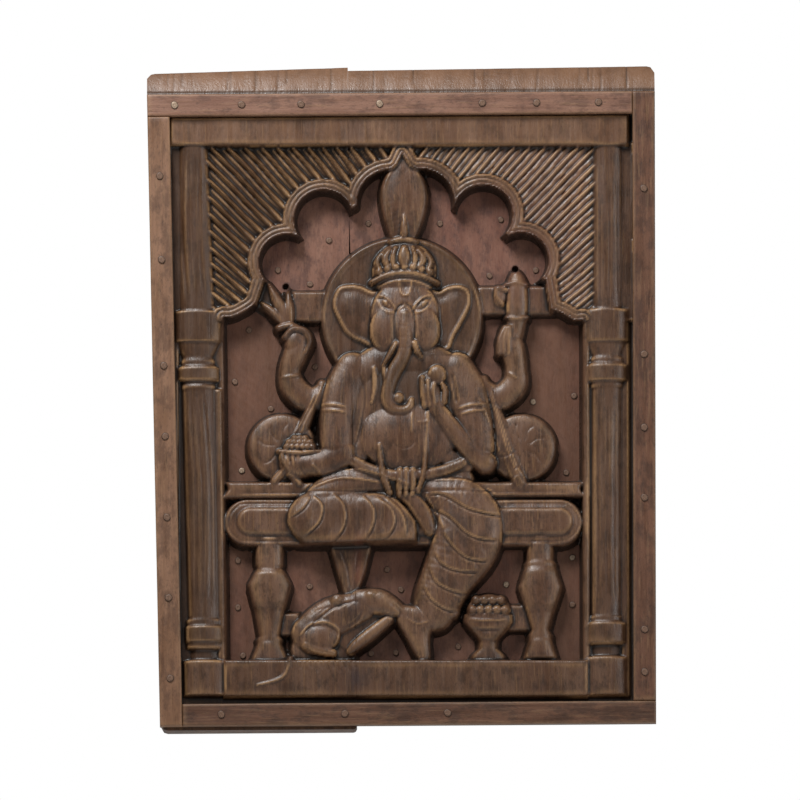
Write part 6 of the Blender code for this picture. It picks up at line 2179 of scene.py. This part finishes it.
@dataclass(frozen=True)
class Studio:
    """A pale floor, a white surround, soft lights and a long lens a little below the panel's middle."""

    distance: float = 20.0
    elevation: float = math.radians(-10.0)
    roll: float = math.radians(-0.4)
    seen_width: float = 0.8
    sensor: float = 36.0
    aim: tuple[float, float, float] = (-0.003, 0.0, 0.0018)
    floor_level: float = -1.6
    floor_half: float = 6.0
    floor_colour: str = "#e6e4e1"
    floor_glow: float = 0.2
    surround: float = 0.2

    def camera(self) -> None:
        """Place the camera at the photograph's angle."""
        data = bpy.data.cameras.new("camera")
        data.sensor_width = self.sensor
        data.lens = self.sensor * self.distance / self.seen_width
        data.clip_end = 100.0
        made = bpy.data.objects.new("camera", data)
        bpy.context.scene.collection.objects.link(made)
        away = Vector((0.0, -math.cos(self.elevation), math.sin(self.elevation)))
        aim = Vector(self.aim)
        turn = (-away).to_track_quat("-Z", "Y").to_matrix() @ Matrix.Rotation(self.roll, 3, "Z")
        made.matrix_world = Matrix.Translation(aim + away * self.distance) @ turn.to_4x4()
        bpy.context.scene.camera = made

    def floor(self) -> None:
        """Lay the pale floor."""
        half, level = self.floor_half, self.floor_level
        corners = [(-half, -half, level), (half, -half, level), (half, half, level), (-half, half, level)]
        piece = new_piece("studio_floor", np.array(corners) / MM, np.array([[0, 1, 2, 3]]), smooth=False)
        made = bpy.data.materials.new("pale studio floor")
        made.use_nodes = True
        shader = made.node_tree.nodes["Principled BSDF"]
        shader.inputs["Base Color"].default_value = linear(self.floor_colour)
        shader.inputs["Roughness"].default_value = 0.8
        shader.inputs["Emission Color"].default_value = linear(self.floor_colour)
        shader.inputs["Emission Strength"].default_value = self.floor_glow
        piece.data.materials.append(made)

    def area(self, name: str, place: tuple[float, float, float], size: float, power: float) -> None:
        """Add a soft square light that faces the panel.

        Args:
            name: The light's name.
            place: Where it stands.
            size: Its side.
            power: Its power in watts.
        """
        data = bpy.data.lights.new(name, "AREA")
        data.size, data.energy = size, power
        made = bpy.data.objects.new(name, data)
        made.location = place
        made.rotation_euler = (-Vector(place)).to_track_quat("-Z", "Y").to_euler()
        bpy.context.scene.collection.objects.link(made)

    def build(self) -> None:
        """Set the studio up."""
        world = bpy.data.worlds.new("white surround")
        world.use_nodes = True
        tree = world.node_tree
        back = tree.nodes["Background"]
        back.inputs[0].default_value = linear("#ffffff")
        direct = add_node(tree, "ShaderNodeLightPath").outputs["Is Camera Ray"]
        level = add_node(tree, "ShaderNodeMapRange", {"sockets": {"To Min": self.surround, "To Max": 1.0}},
                         {"Value": direct}).outputs[0]
        tree.links.new(level, back.inputs[1])
        bpy.context.scene.world = world
        bpy.context.scene.view_settings.view_transform = "Standard"
        self.area("key", (-0.75, -1.35, 1.75), 0.8, 58.0)
        self.area("fill", (2.2, -1.8, 0.5), 1.2, 17.0)
        self.area("back", (0.9, 2.4, 1.3), 1.6, 26.0)
        self.floor()
        self.camera()


def main() -> None:
    """Build every piece in order, then the studio."""
    logging.basicConfig(level=logging.INFO, format="%(message)s")
    carved = WoodFinish("carved and waxed teak", "#6c4f3c", "#573a28", "#2f1d12", "#0f0805", "#ad865c",
                        roughness=0.38, figure=0.14, bump=0.35,
                        reads=("pink", "band", "red", "shade", "hollow", "worn", "checks", "stain")).make()
    backing = WoodFinish("planed red hardwood", "#845d4b", "#714737", "#4a2d25", "#2a1812", "#8f6a58",
                         grain_mm=1.4, streak_mm=30.0, roughness=0.5, bump=0.3, chatter=0.3, figure=0.2,
                         reads=("brown", "hollow")).make()
    # The top and left battens are coloured lighter and the right and bottom darker: partly the woods' own
    # colours, partly painted light and shade from the upper left.
    battens = {node: WoodFinish(f"oiled wood of the {place} batten", light, mid, dark, "#241710", "#a5835f",
                                grain_axis=axis, roughness=0.48, reads=("worn",)).make()
               for node, place, axis, light, mid, dark in (
                   ("batten_top", "top", "X", "#8a6552", "#75503f", "#54382c"),
                   ("batten_right", "right", "Z", "#6b4631", "#5a3926", "#3d2518"),
                   ("batten_bottom", "bottom", "X", "#63412d", "#523322", "#372216"),
                   ("batten_left", "left", "Z", "#8c6850", "#775339", "#543928"))}
    boards = CarvedBoards(Relief(), carved)
    for side in Side:
        boards.build(side)
    BackingBoard(backing).build()
    for seed, (node, finish) in enumerate(battens.items(), 60):
        Battens(finish).build(node, seed)
    heads = NailHeads(IronFinish("stained nail iron", "#7b5e4b", "#5c4434", 0.1).make(),
                      IronFinish("rubbed nail iron", "#b09a84", "#86705c", 0.3, 0.42).make())
    nails = sorted(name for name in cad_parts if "nail" in name)
    for seed, node in enumerate(nails, 100):
        heads.build(node, seed)
    Studio().build()


if __name__ == "__main__":
    main()
